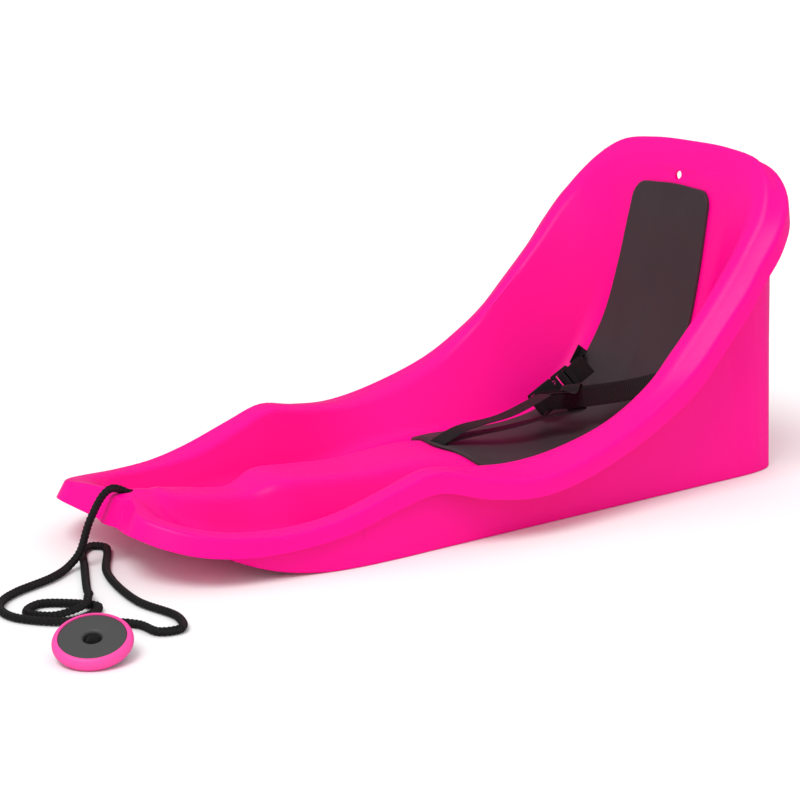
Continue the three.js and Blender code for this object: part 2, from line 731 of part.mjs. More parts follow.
addPiece('strap_anchor_right', anchorBar(slotFrames.right, true), finishes.buckle);
addPiece('strap_anchor_left', anchorBar(slotFrames.left, true), finishes.buckle);
addPiece('strap_anchor_crotch', anchorBar(slotFrames.crotch, false), finishes.buckle);

// Frame of the buckle, lying on its side above the pad: x runs along its pull towards the
// right-hand slot, y across its width, z out of its face
const buckleAlong = point(...buckleAimShares).normalize();
const buckleOut = point(...buckleFaceShares);
buckleOut.addScaledVector(buckleAlong, -buckleOut.dot(buckleAlong)).normalize();
const buckleAcross = point().crossVectors(buckleOut, buckleAlong);
const buckleOrigin = point(atX(bucklePlaceShares[0]), atY(bucklePlaceShares[1]), atZ(bucklePlaceShares[2]));
const buckleFrame = frameAt(buckleOrigin, buckleAlong, buckleAcross, buckleOut);

// Block between two x places, centred across and through, with rounded corners
function block(fromX, toX, width, thickness, radius) {
  const outline = roundedOutline(toX - fromX, width, radius);
  const rise = { depth: thickness, bevelEnabled: false, curveSegments: slotFacets };
  const solid = new THREE.ExtrudeGeometry(outline, rise);
  solid.translate((fromX + toX) / 2, 0, -thickness / 2);
  return toSolid(solid);
}

function softBlock(fromX, toX, width, thickness, radius, bevel) {
  const outline = roundedOutline(toX - fromX - 2 * bevel, width - 2 * bevel, radius);
  const solid = new THREE.ExtrudeGeometry(outline, {
    depth: thickness - 2 * bevel,
    bevelThickness: bevel,
    bevelSize: bevel,
    bevelSegments: 1,
    curveSegments: slotFacets,
  });
  solid.translate((fromX + toX) / 2, 0, bevel - thickness / 2);
  return toSolid(solid);
}

const webSlotEnd = webBar + webOpening;
const webWidth = strapWidth + 2 * runningGap;

function makeSocket() {
  let socket = softBlock(0, socketLength, buckleWidth, buckleThickness, socketWall, buckleEdge);
  const cavity = block(webSlotEnd + socketWall, socketLength + cutOverrun, mouthWidth,
    plugThickness + 2 * runningGap, runningGap);
  const windows = block(windowStart, windowStart + windowLength, buckleWidth + cutOverrun,
    plugThickness + 2 * runningGap, socketWall);
  const opening = block(webBar, webSlotEnd, webWidth, buckleThickness + cutOverrun, runningGap);
  const faceWindow = block(windowStart, windowStart + windowLength - socketWall, mouthWidth / 2,
    buckleThickness + cutOverrun, socketWall);
  const barThinning = block(-cutOverrun, webSlotEnd, webWidth, buckleThickness, runningGap);
  const bar = new THREE.CylinderGeometry(webBar / 2, webBar / 2, strapWidth + 4 * buckleEdge, pinFacets);
  bar.translate(webBar / 2, 0, 0);
  socket = socket.subtract(cavity).subtract(windows).subtract(opening).subtract(faceWindow);
  return fromSolid(socket.subtract(barThinning).add(toSolid(bar)));
}

const plugStart = socketLength + runningGap;
const plugEnd = plugStart + plugLength;
const innerOpening = plugStart + ladderBar + armRootWidth;
const middleBar = innerOpening + ladderOpening;
const outerOpening = middleBar + ladderBar;
const armPivot = plugStart + armRootWidth / 2;

function makePlug() {
  let plug = softBlock(plugStart, plugEnd, buckleWidth, plugThickness, socketWall, buckleEdge);
  const tongueThickness = plugThickness - runningGap;
  plug = plug.add(block(plugStart - tongueReach, plugStart + buckleEdge, tongueWidth, tongueThickness, tongueRound));
  [innerOpening, outerOpening].forEach((start) => {
    const end = start + ladderOpening;
    plug = plug.subtract(block(start, end, webWidth, plugThickness + cutOverrun, runningGap));
  });
  [-1, 1].forEach((side) => {
    const seat = new THREE.CylinderGeometry(armRootWidth / 2 + runningGap, armRootWidth / 2 + runningGap,
      plugThickness + cutOverrun, pinFacets);
    seat.rotateX(Math.PI / 2);
    seat.translate(armPivot, side * armRootInset, 0);
    const relief = block(plugStart - cutOverrun, armPivot, armRootWidth + 4 * runningGap,
      plugThickness + cutOverrun, runningGap);
    plug = plug.subtract(toSolid(seat)).subtract(relief.translate([0, side * armRootInset, 0]));
  });
  return fromSolid(plug);
}

// Sprung arm of the plug: a thin beam from its round root to a barb that catches the
// front edge of the socket's side window. Drawn for the left side and mirrored.
function makeArm(side) {
  const root = armRootWidth / 2;
  const catchX = windowStart + windowLength - runningGap;
  const tipX = armPivot - armReach;
  const barbY = armRootInset + barbWidth;
  const shape = new THREE.Shape();
  shape.moveTo(armPivot, armRootInset - root);
  shape.absarc(armPivot, armRootInset, root, -Math.PI / 2, Math.PI / 2);
  shape.lineTo(catchX, armRootInset + root);
  shape.lineTo(catchX, barbY);
  shape.quadraticCurveTo(tipX + barbLength / 2, barbY, tipX, armRootInset + root);
  shape.quadraticCurveTo(tipX - root, armRootInset, tipX, armRootInset - root);
  const depth = plugThickness - runningGap;
  const arm = new THREE.ExtrudeGeometry(shape, { depth, bevelEnabled: false, curveSegments: slotFacets });
  arm.translate(0, 0, -depth / 2);
  return side > 0 ? arm : turned(mirrorAcross(arm));
}

function mirrorAcross(geometry) {
  const merged = mergeVertices(bareCopy(geometry), weldGap);
  merged.scale(1, -1, 1);
  return merged;
}

function bareCopy(geometry) {
  const copy = geometry.clone();
  copy.deleteAttribute('normal');
  copy.deleteAttribute('uv');
  return copy;
}

addPiece('buckle_socket', placed(makeSocket(), buckleFrame), finishes.buckle);
addPiece('buckle_plug', placed(makePlug(), buckleFrame), finishes.buckle);
addPiece('plug_arm_left', placed(makeArm(1), buckleFrame), finishes.buckle);
addPiece('plug_arm_right', placed(makeArm(-1), buckleFrame), finishes.buckle);

// Strap places as shares of the shell's half width, length and height
const placeOf = ([x, y, z]) => point(atX(x), atY(y), atZ(z));

function slotWebbing(frame, alongY, flip) {
  const across = alongY ? 0 : 1;
  return anchorLoop().map(([side, out]) => (
    intoWorld(frame, flip * side * (1 - across), flip * side * across, out)
  ));
}

// Right lap strap: from its slot to the plug, over its bars and back under as a tail
function makeRightLap() {
  const start = slotWebbing(slotFrames.right, true, 1);
  const grip = plugThickness / 2 + seatGap + strapThickness / 2;
  const second = grip + 2 * (strapThickness + seatGap);
  const inner = middleBar - ladderOpening / 2;
  const outer = outerOpening + ladderOpening / 2;
  const edge = plugThickness / 2 + strapThickness / 2 + runningGap / 2;
  const top = grip + runningGap;
  const thread = [
    [plugEnd + ladderBar, -second], [middleBar + ladderBar / 4, -second], [inner, -edge], [inner, edge],
    [middleBar + ladderBar / 4, top], [outerOpening - ladderBar / 4, top], [outer, edge], [outer, -edge],
    [outer + ladderOpening / 2, -top], [plugEnd + tailLength, -top],
  ].map(([x, z]) => intoWorld(buckleFrame, x, 0, z));
  const free = smoothLine([start[start.length - 1], ...rightLapShares.map(placeOf), thread[0]], strapSteps);
  const upSlot = turnInto(slotFrames.right, point(0, 1, 0));
  const widths = [
    ...start.slice(0, -1).map(() => upSlot),
    ...blendDirections(upSlot, buckleAcross, free.length),
    ...thread.slice(1).map(() => buckleAcross),
  ];
  const line = [...start.slice(0, -1), ...free, ...thread.slice(1)];
  return ribbon(line, widths, strapWidth, strapThickness);
}

// Left lap strap: from its slot across the face of the socket, round the socket's bar
function leftLapCourse() {
  const start = slotWebbing(slotFrames.left, true, -1);
  const face = buckleThickness / 2 + seatGap + strapThickness / 2;
  const over = face + strapThickness + seatGap + strapLift;
  const wrap = webBar / 2 + seatGap + strapThickness / 2;
  const turn = [[socketLength / 3, over], [webBar, face]];
  for (let k = 0; k <= turnSteps; k += 1) {
    const angle = Math.PI * (1 / 2 + 5 / 4 * k / turnSteps);
    turn.push([webBar / 2 + wrap * Math.cos(angle), wrap * Math.sin(angle)]);
  }
  const bar = turn.map(([x, z]) => intoWorld(buckleFrame, x, 0, z));
  const free = smoothLine([start[start.length - 1], ...leftLapShares.map(placeOf), bar[0]], strapSteps);
  const upSlot = turnInto(slotFrames.left, point(0, 1, 0));
  const freeWidths = blendDirections(upSlot, buckleAcross, free.length);
  return {
    line: [...start.slice(0, -1), ...free, ...bar.slice(1)],
    widths: [...start.slice(0, -1).map(() => upSlot), ...freeWidths, ...bar.slice(1).map(() => buckleAcross)],
    crossing: start.length - 1 + Math.round(strapSteps * crotchLoopShare),
  };
}

addPiece('lap_strap_right', makeRightLap(), finishes.webbing);
const leftLap = leftLapCourse();
const leftBand = ribbon(leftLap.line, leftLap.widths, strapWidth, strapThickness);
addPiece('lap_strap_left', leftBand, finishes.webbing);

// Crotch strap: a doubled band from its slot that wraps right round the left lap strap
function makeCrotchStrap() {
  const k = leftLap.crossing;
  const centre = leftLap.line[k];
  const along = point().subVectors(leftLap.line[k + 1], leftLap.line[k - 1]).normalize();
  const up = leftLap.widths[k].clone().addScaledVector(along, -along.dot(leftLap.widths[k])).normalize();
  if (up.z < 0) up.negate();
  const ahead = point().crossVectors(up, along);
  if (ahead.y > 0) ahead.negate();
  const edge = strapWidth / 2 + loopGap + strapThickness / 2;
  const side = strapThickness + loopGap;
  const wrapped = [
    [-edge, 3 * side], [-edge, side], [-edge, -side / 2], [-edge / 2, -side], [edge / 2, -side],
    [edge, -side / 2], [edge, side], [edge / 2, 3 * side],
  ].map(([rise, out]) => centre.clone().addScaledVector(up, rise).addScaledVector(ahead, out));
  const slot = slotWebbing(slotFrames.crotch, false, 1).slice(2, -1);
  const low = smoothLine([...crotchLowShares.map(placeOf).reverse(), slot[0]], crotchSteps);
  const high = smoothLine([slot[slot.length - 1], ...crotchHighShares.map(placeOf)], crotchSteps);
  const under = wrapped.slice(0, 2).reverse();
  const over = wrapped.slice(2).reverse();
  const line = [...under, ...low, ...slot.slice(1), ...high.slice(1), ...over];
  const flat = turnInto(slotFrames.crotch, point(1, 0, 0));
  if (along.dot(flat) < 0) along.negate();
  const widths = [
    ...wrapped.slice(0, 2).map(() => along),
    ...blendDirections(along, flat, low.length),
    ...slot.slice(1).map(() => flat),
    ...blendDirections(flat, along, high.length - 1),
    ...wrapped.slice(2).map(() => along),
  ];
  return ribbon(line, widths, strapWidth, strapThickness);
}

addPiece('crotch_strap', makeCrotchStrap(), finishes.webbing);

// Pull rope: out of the hole in the nose, over its front edge, down to the ground and
// along it in the loose loops in which it was laid, to the round handle
const ropePlaces = [
  [0, -376.5, 63.7], [0, -384, 70], [0, -399.5, 76.8], [0, -410, 72], [0, -427, 46.5], [1, -440, 16.5],
  [6, -455, 6.4], [23, -482, 5], [40, -531, 4.6], [54, -552, 4.2], [77, -564, 4.2], [104, -560, 4.2],
  [141, -521, 4.2], [123, -484, 4.2], [92, -508, 4.2], [82, -527, 4.2], [95, -546.5, 4.2], [118, -529, 4.2],
  [121, -498, 9], [110, -488, 13.2], [96, -480, 9.2], [79, -473, 4.8], [6, -438, 4.3], [-34, -418, 4.2],
  [-43, -404, 4.2], [-32, -394, 4.2], [-15.7, -400, 4.2], [42, -431, 4.2], [130, -446, 4.2], [190, -436, 4.2],
  [219, -449, 4.2], [214, -470, 4.2], [187, -476, 4.2], [169.5, -494, 4.2], [193, -519.8, 4.2],
  [206, -529.5, 4.2], [215.4, -536.4, 5.3], [222.3, -541.8, 8.8],
];

function placeRope() {
  return ropePlaces.map(([x, y, z]) => point(x, y, z));
}

function makeRope() {
  const round = new THREE.Shape();
  for (let k = 0; k < ropeSides; k += 1) {
    const angle = 2 * Math.PI * (k + 1 / 2) / ropeSides;
    const reach = ropeDiameter / 2;
    if (k === 0) round.moveTo(reach * Math.cos(angle), reach * Math.sin(angle));
    else round.lineTo(reach * Math.cos(angle), reach * Math.sin(angle));
  }
  const course = new THREE.CatmullRomCurve3(placeRope(), false, 'centripetal');
  course.arcLengthDivisions = 4 * ropeSteps;
  return new THREE.ExtrudeGeometry(round, { steps: ropeSteps, extrudePath: course, bevelEnabled: false });
}

addPiece('pull_rope', makeRope(), finishes.rope);

// Knots of the rope: a round body with its ends drawn in
function makeKnot(diameter) {
  const knot = new THREE.SphereGeometry(diameter / 2, knotFacets, knotFacets / 2 + 1);
  return fromSolid(toSolid(knot));
}

const ropeStart = point(...ropePlaces[0]);
const ropeIn = point(...ropePlaces[1]).sub(ropeStart).normalize();
const noseKnot = addPiece('rope_stopper_knot', makeKnot(knotDiameter), finishes.rope);
noseKnot.position.copy(ropeStart).addScaledVector(ropeIn, -(knotDiameter / 2 + seatGap));

// Round handle: a grip ring moulded round a flat disc with a stepped hole for the knot.
// It lies on the ground on its near edge, tipped up on the rope behind it.
const handle = new THREE.Group();
handle.position.set(handleX, handleY, handleZ);
handle.rotation.set(THREE.MathUtils.degToRad(handleTilt), 0, THREE.MathUtils.degToRad(handleTurn), 'ZXY');
sled.add(handle);

function makeHandleRing() {
  const outer = handleDiameter / 2;
  const inner = faceDiameter / 2 + seatGap;
  const half = handleThickness / 2;
  const profile = [new THREE.Vector2(inner, -half), new THREE.Vector2(outer - handleEdgeRound, -half)];
  for (let k = 1; k <= 2 * edgeSteps; k += 1) {
    const angle = -Math.PI / 2 + Math.PI * k / (2 * edgeSteps);
    const rise = half * Math.sin(angle);
    profile.push(new THREE.Vector2(outer - handleEdgeRound * (1 - Math.cos(angle)), rise));
  }
  profile.push(new THREE.Vector2(inner, half), new THREE.Vector2(inner, -half));
  return fromSolid(toSolid(new THREE.LatheGeometry(profile, ringFacets).rotateX(Math.PI / 2)));
}

function makeHandleFace() {
  const outer = faceDiameter / 2;
  const half = faceThickness / 2;
  const hole = handleHoleDiameter / 2;
  const profile = [
    new THREE.Vector2(hole, -half), new THREE.Vector2(outer, -half), new THREE.Vector2(outer, half),
    new THREE.Vector2(hole, half), new THREE.Vector2(hole, -half),
  ];
  return fromSolid(toSolid(new THREE.LatheGeometry(profile, ringFacets).rotateX(Math.PI / 2)));
}

addPiece('handle_ring', makeHandleRing(), finishes.ring, handle);
addPiece('handle_face', makeHandleFace(), finishes.face, handle);
addPiece('handle_knot', makeKnot(handleKnotDiameter), finishes.rope, handle).position.z = knotSink;
export default sled;
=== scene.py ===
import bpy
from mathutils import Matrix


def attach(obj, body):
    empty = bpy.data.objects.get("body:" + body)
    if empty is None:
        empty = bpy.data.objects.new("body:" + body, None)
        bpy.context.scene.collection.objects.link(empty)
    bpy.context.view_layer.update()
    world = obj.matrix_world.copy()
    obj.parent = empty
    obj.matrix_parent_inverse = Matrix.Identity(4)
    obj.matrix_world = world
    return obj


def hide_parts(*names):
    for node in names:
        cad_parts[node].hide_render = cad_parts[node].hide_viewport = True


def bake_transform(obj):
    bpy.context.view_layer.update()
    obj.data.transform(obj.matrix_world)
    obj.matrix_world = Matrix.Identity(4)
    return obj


bl_info = {
    "name": "Baby Pull Sled",
    "version": (1, 0, 0),
    "blender": (4, 5, 0),
    "location": "View3D > Sidebar > Sled",
    "description": "Dresses the packed sled: shell, seat pad, lap harness, pull rope and handle",
    "category": "Object",
}

import math

import bmesh
import bpy
import numpy as np
from bpy.props import FloatProperty, FloatVectorProperty, PointerProperty, StringProperty
from mathutils import Matrix, Vector

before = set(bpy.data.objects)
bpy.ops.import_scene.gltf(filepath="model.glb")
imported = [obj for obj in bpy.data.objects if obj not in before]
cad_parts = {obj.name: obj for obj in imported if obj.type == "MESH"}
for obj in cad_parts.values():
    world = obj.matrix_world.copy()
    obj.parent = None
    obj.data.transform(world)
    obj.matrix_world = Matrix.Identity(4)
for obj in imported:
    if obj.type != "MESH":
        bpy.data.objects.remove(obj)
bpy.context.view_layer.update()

MM = 0.001

# Sizes of the moulding, in millimetres
LENGTH = 848.0
WIDTH = 412.0
HEIGHT = 368.0
WALL = 3.5
FOOT_WIDTH = 11.0
FOOT_HEIGHT = 9.0
BOW_RADIUS = 265.0
BOW_START = -231.0
FOOT_EDGE = 1.2
HULL_SINK = 0.6
HULL_TOP_SHARE = 0.3
FIRST_HULL = 4

# Stations of the right half of the shell, from the middle of the nose round the side to the
# middle of the back, in shares of the half width, the length and the height. A row holds the
# ridge, the shares of the tongue's crown and foot, the base of the well, the rim's inner and
# outer edge, its rise, drop and flare, and the hull's foot with the rail that the wall rises to
STATIONS = [
  [[0.093, 0.185], [0.35, 0.65, 0], [0, 0.059, 0.185], [0, 0.047, 0.194], [0, 0.028, 0.185],
    [0.003, 0.071, 0.033], [0.485, 0.061, 6.6]],
  [[0.096, 0.183], [0.35, 0.65, 0], [0.068, 0.059, 0.175], [0.083, 0.048, 0.186], [0.097, 0.038, 0.185],
    [0.003, 0.071, 0.046], [0.485, 0.061, 6.6]],
  [[0.099, 0.181], [0.3, 0.55, 0.5], [0.175, 0.059, 0.148], [0.214, 0.046, 0.175], [0.233, 0.028, 0.189],
    [0.003, 0.067, 0.041], [0.485, 0.061, 6.6]],
  [[0.106, 0.177], [0.28, 0.5, 0.9], [0.301, 0.064, 0.12], [0.34, 0.047, 0.164], [0.359, 0.014, 0.189],
    [0.003, 0.052, 0.03], [0.485, 0.061, 6.6]],
  [[0.12, 0.168], [0.25, 0.45, 1], [0.417, 0.078, 0.088], [0.471, 0.061, 0.155], [0.51, 0.032, 0.168],
    [0.003, 0.052, 0.027], [0.485, 0.061, 6.6]],
  [[0.143, 0.158], [0.22, 0.42, 1], [0.5, 0.106, 0.056], [0.573, 0.094, 0.14], [0.641, 0.068, 0.145],
    [0.003, 0.052, 0.022], [0.592, 0.085, 6.6]],
  [[0.172, 0.144], [0.2, 0.4, 1], [0.534, 0.144, 0.026], [0.617, 0.14, 0.129], [0.723, 0.124, 0.129],
    [0.003, 0.049, 0.016], [0.709, 0.132, 6.6]],
  [[0.205, 0.137], [0.2, 0.4, 1], [0.549, 0.196, 0.009], [0.641, 0.193, 0.128], [0.772, 0.186, 0.129],
    [0.003, 0.043, 0.014], [0.772, 0.191, 6.6]],
  [[0.248, 0.163], [0.3, 0.52, 1], [0.558, 0.245, 0], [0.65, 0.245, 0.141], [0.801, 0.243, 0.152],
    [0.004, 0.049, 0.011], [0.816, 0.245, 6.6]],
  [[0.304, 0.152], [0.32, 0.55, 1], [0.568, 0.307, 0], [0.675, 0.309, 0.185], [0.818, 0.307, 0.196],
    [0.005, 0.054, 0.008], [0.83, 0.307, 6.4]],
  [[0.366, 0.141], [0.32, 0.55, 1], [0.573, 0.368, 0], [0.697, 0.363, 0.224], [0.845, 0.366, 0.23],
    [0.005, 0.06, 0.008], [0.83, 0.366, 6.1]],
  [[0.427, 0.144], [0.33, 0.6, 0.9], [0.573, 0.432, 0.015], [0.701, 0.427, 0.208], [0.922, 0.429, 0.198],
    [0.007, 0.06, 0.008], [0.83, 0.429, 5.3]],
  [[0.489, 0.144], [0.35, 0.65, 0.6], [0.549, 0.5, 0.061], [0.714, 0.498, 0.194], [0.982, 0.498, 0.178],
    [0.008, 0.054, 0.008], [0.83, 0.498, 4.85]],
  [[0.559, 0.12], [0.35, 0.7, 0.2], [0.505, 0.566, 0.083], [0.738, 0.568, 0.209], [0.986, 0.571, 0.201],
    [0.008, 0.054, 0.008], [0.83, 0.568, 4.65]],
  [[0.646, 0.087], [0.35, 0.7, 0], [0.485, 0.646, 0.08], [0.767, 0.653, 0.266], [0.962, 0.67, 0.272],
    [0.008, 0.057, 0.008], [0.83, 0.653, 4.4]],
  [[0.724, 0.076], [0.35, 0.7, 0], [0.481, 0.719, 0.08], [0.782, 0.719, 0.356], [0.955, 0.736, 0.353],
    [0.011, 0.065, 0.008], [0.83, 0.719, 4.05]],
  [[0.795, 0.101], [0.35, 0.7, 0], [0.476, 0.783, 0.107], [0.777, 0.762, 0.443], [0.954, 0.777, 0.418],
    [0.014, 0.068, 0.008], [0.83, 0.774, 4]],
  [[0.84, 0.171], [0.35, 0.7, 0], [0.476, 0.825, 0.175], [0.769, 0.795, 0.514], [0.948, 0.809, 0.492],
    [0.016, 0.071, 0.008], [0.83, 0.814, 4]],
  [[0.869, 0.264], [0.35, 0.7, 0], [0.471, 0.857, 0.265], [0.765, 0.821, 0.576], [0.944, 0.835, 0.552],
    [0.016, 0.071, 0.008], [0.83, 0.851, 4.1]],
  [[0.897, 0.408], [0.35, 0.7, 0], [0.461, 0.892, 0.404], [0.757, 0.849, 0.647], [0.941, 0.861, 0.614],
    [0.019, 0.071, 0.008], [0.83, 0.889, 4.3]],
  [[0.919, 0.584], [0.35, 0.7, 0], [0.451, 0.913, 0.575], [0.752, 0.882, 0.739], [0.931, 0.889, 0.696],
    [0.022, 0.071, 0.008], [0.82, 0.927, 4.8]],
  [[0.932, 0.739], [0.35, 0.7, 0], [0.447, 0.927, 0.73], [0.714, 0.913, 0.823], [0.913, 0.925, 0.788],
    [0.027, 0.071, 0.008], [0.777, 0.958, 5.4]],
  [[0.94, 0.832], [0.35, 0.7, 0], [0.442, 0.938, 0.846], [0.636, 0.935, 0.891], [0.816, 0.962, 0.875],
    [0.038, 0.071, 0.008], [0.67, 0.976, 5.4]],
  [[0.943, 0.875], [0.35, 0.7, 0], [0.393, 0.946, 0.9], [0.515, 0.949, 0.932], [0.631, 0.983, 0.943],
    [0.046, 0.071, 0.008], [0.476, 0.985, 4.2]],
  [[0.946, 0.894], [0.35, 0.7, 0], [0.233, 0.949, 0.908], [0.282, 0.953, 0.94], [0.33, 0.993, 0.973],
    [0.052, 0.071, 0.008], [0.243, 0.986, 2.2]],
  [[0.946, 0.902], [0.35, 0.7, 0], [0, 0.949, 0.91], [0, 0.954, 0.943], [0, 0.995, 0.978],
    [0.052, 0.071, 0.008], [0, 0.986, 0.3]],
]
LAST = len(STATIONS) - 1
CREST_SHARE = 0.4
DIP_SHARE = 0.5
DIP_SINK = 0.3
REACHES = [0, 13, 16, 26, 8, 11, 11, 7, 0]
ROUNDING = [1, 7, 7, 9, 7, 6, 1, 7, 1]
MAX_REACH = 0.45
SKIN_COLUMNS = 132
HULL_COLUMNS = 140
SEAT_FRONT, SEAT_DIP = 10, 15

# Steps of the tables that the surface is read from, and how far apart its slopes are measured
RIDGE_STEPS, SECTION_STEPS = 4000, 960
TINY, SHORT_SPAN = 1e-9, 1e-4
LINE_DENSITY = 24
EDGE_PROBE, FOOT_PROBE = 1e-4, 1e-3
STATION_PROBE, SIDE_PROBE, HULL_PROBE = 0.2, 6.0, 0.1

# Gap in metres within which vertices are one, and the angles in degrees that stay sharp
MERGE_GAP = 2e-6
CREASE, WEBBING_CREASE, PAD_CREASE, ROPE_CREASE = 38, 60, 70, 80

# Foam mat, in millimetres, with the shares that shape it
PAD_GAP = 0.55
PAD_THICKNESS = 4.3
PAD_EDGE_DROP, PAD_EDGE_POWER = 0.75, 16
PAD_END_SHARE, PAD_END_RISE = 0.3, 9
PAD_FRONT_HALF, PAD_SEAT_HALF, PAD_TOP_HALF = 78.0, 86.0, 65.0
PAD_TOP_Z, PAD_TOP_CROWN, PAD_TOP_CORNER = 319.0, 12.0, 16.0
PAD_FRONT_Y, PAD_FRONT_SETBACK = 12.0, 20.0
PAD_HIP_SHARE, PAD_TAPER_POWER = 0.38, 0.8
PAD_ROWS, PAD_COLUMNS = 64, 40

# Slots and holes, in millimetres and degrees
SLOT_WIDTH, SLOT_LENGTH = 6.4, 29.0
SLOT_FACETS, HOLE_FACETS = 24, 40
CUT_DEPTH = 30.0
LAP_SLOT_X, LAP_SLOT_Z, CROTCH_SLOT_Y = 77.0, 92.0, 18.0
ROPE_HOLE = (0.0, -384.0, 70.0)
ROPE_HOLE_DIAMETER, ROPE_HOLE_TILT = 12.0, 40.0
HANG_HOLE_DIAMETER, HANG_HOLE_DROP = 11.0, 3.0

# Webbing and the bars behind the shell that hold its loops, in millimetres
STRAP_WIDTH, STRAP_THICKNESS = 25.0, 1.2
STRAP_COLUMNS, STRAP_EDGE, STRAP_GIRTH = 12, 0.45, 2.08
STRAP_STEP, STRAP_SMOOTHING = 1.6, 2
PIN = 5.0
SEAT_GAP = 0.3
ANCHOR_DEPTH = WALL + SEAT_GAP + PIN / 2
ANCHOR_TURN = PIN / 2 + SEAT_GAP + STRAP_THICKNESS / 2
ABOVE_PAD = 5.1 + STRAP_THICKNESS
TAIL = 22.0
TURN_STEPS = 24
TURN_OVERLAP = -0.04
WEB_TURN_START, WEB_TURN = 0.5, 1.25
STRAP_LIFT, LOOP_GAP = 2.5, 2.6
RIGHT_STEPS, LEFT_STEPS, CROTCH_STEPS = 40, 64, 56
LOOP_PROBE = 4

# Buckle, in millimetres, with its place as shares
BUCKLE_AIM = Vector((0.332, 0.717, 0.612))
BUCKLE_FACE = Vector((0.779, -0.577, 0.253))
BUCKLE_PLACE = (-0.267, 0.744, 0.15)
SOCKET_LENGTH, BUCKLE_THICKNESS = 35.0, 11.0
WEB_BAR = 3.4
PLUG_LENGTH, PLUG_THICKNESS, RUNNING_GAP = 25.5, 5.0, 0.4
LADDER_BAR, LADDER_OPENING, ARM_ROOT = 4.0, 4.4, 2.6

# Places that the straps pass through, as shares of the half width, the length and the height
CROTCH_LOOP_SHARE = 0.72
RIGHT_LAP = [(-0.33, 0.84, 0.262)]
LEFT_LAP = [(0.218, 0.816, 0.24), (0.058, 0.775, 0.215)]
CROTCH_LOW = [(0, 0.56, 0.155), (-0.02, 0.64, 0.15), (-0.06, 0.715, 0.15)]
CROTCH_HIGH = [(0, 0.56, 0.18), (-0.02, 0.64, 0.19), (-0.06, 0.72, 0.225)]

# Pull rope and its course to the handle, in millimetres
ROPE_DIAMETER = 8.0
ROPE_STEPS, ROPE_SIDES, ROPE_PROBE = 1500, 32, 6
BRAID_CORE, BRAID_RELIEF, BRAID_POWER = 0.95, 0.13, 0.6
ROPE_ROUTE = [
    [0, -376.5, 63.7], [0, -384, 70], [0, -399.5, 76.8], [0, -410, 72], [0, -427, 46.5],
    [1, -440, 16.5], [6, -455, 6.4], [23, -482, 5], [40, -531, 4.6], [54, -552, 4.2],
    [77, -564, 4.2], [104, -560, 4.2], [141, -521, 4.2], [123, -484, 4.2], [92, -508, 4.2],
    [82, -527, 4.2], [95, -546.5, 4.2], [118, -529, 4.2], [121, -498, 9], [110, -488, 13.2],
    [96, -480, 9.2], [79, -473, 4.8], [6, -438, 4.3], [-34, -418, 4.2], [-43, -404, 4.2],
    [-32, -394, 4.2], [-15.7, -400, 4.2], [42, -431, 4.2], [130, -446, 4.2], [190, -436, 4.2],
    [219, -449, 4.2], [214, -470, 4.2], [187, -476, 4.2], [169.5, -494, 4.2], [193, -519.8, 4.2],
    [206, -529.5, 4.2], [215.4, -536.4, 5.3], [222.3, -541.8, 8.8],
]

# Knots, in millimetres, with the relief of their wraps and braid
KNOT, HANDLE_KNOT = 17.0, 15.4
KNOT_ROWS, KNOT_FACETS = 40, 64
KNOT_CORE, KNOT_WRAPS, KNOT_TWIST, KNOT_RELIEF = 0.84, 1.5, 1.3, 0.13
KNOT_BRAID_UP, KNOT_BRAID_ROUND, KNOT_BRAID_RELIEF = 14, 8, 0.02
KNOT_POLE = 0.004

# Round handle, in millimetres and degrees
HANDLE_AT = (227.3, -545.5, 16.0)
HANDLE_TILT, HANDLE_TURN = 18.0, 53.0
HANDLE_DIAMETER, HANDLE_THICKNESS, HANDLE_ROUND = 74.0, 13.0, 5.5
FACE_DIAMETER, FACE_THICKNESS, FACE_HOLE = 62.0, 11.0, 17.0
FACE_EDGE, FACE_LIP_DEPTH, FACE_LIP_WIDTH, FACE_LIP_ROUND = 0.7, 2.0, 1.5, 1.2
RIM_BEVEL = 0.8
HANDLE_FACETS, RIM_STEPS, CORNER_STEPS = 96, 16, 5
KNOT_SINK = -1.5

# Refractive indices of the finishes
PLASTIC_IOR, FIBRE_IOR, PAPER_IOR = 1.5, 1.49, 1.45

# Camera, floor and lights, in metres and degrees
CAMERA_AT = (1.800, -1.35357, 0.70142)
CAMERA_TURN, CAMERA_LIFT = 53.8, 14.7686
CAMERA_LENS, CAMERA_SENSOR = 93.07, 36
FLOOR_HALF, FLOOR_Z, FLOOR_GLOSS = 15, -0.0002, 0.25
WORLD_LIGHT, WORLD_SHINE = 0.84, 0.08
SUN_TURN, SUN_LIFT, SUN_STRENGTH, SUN_SPREAD = 20, 62, 1.5, 30


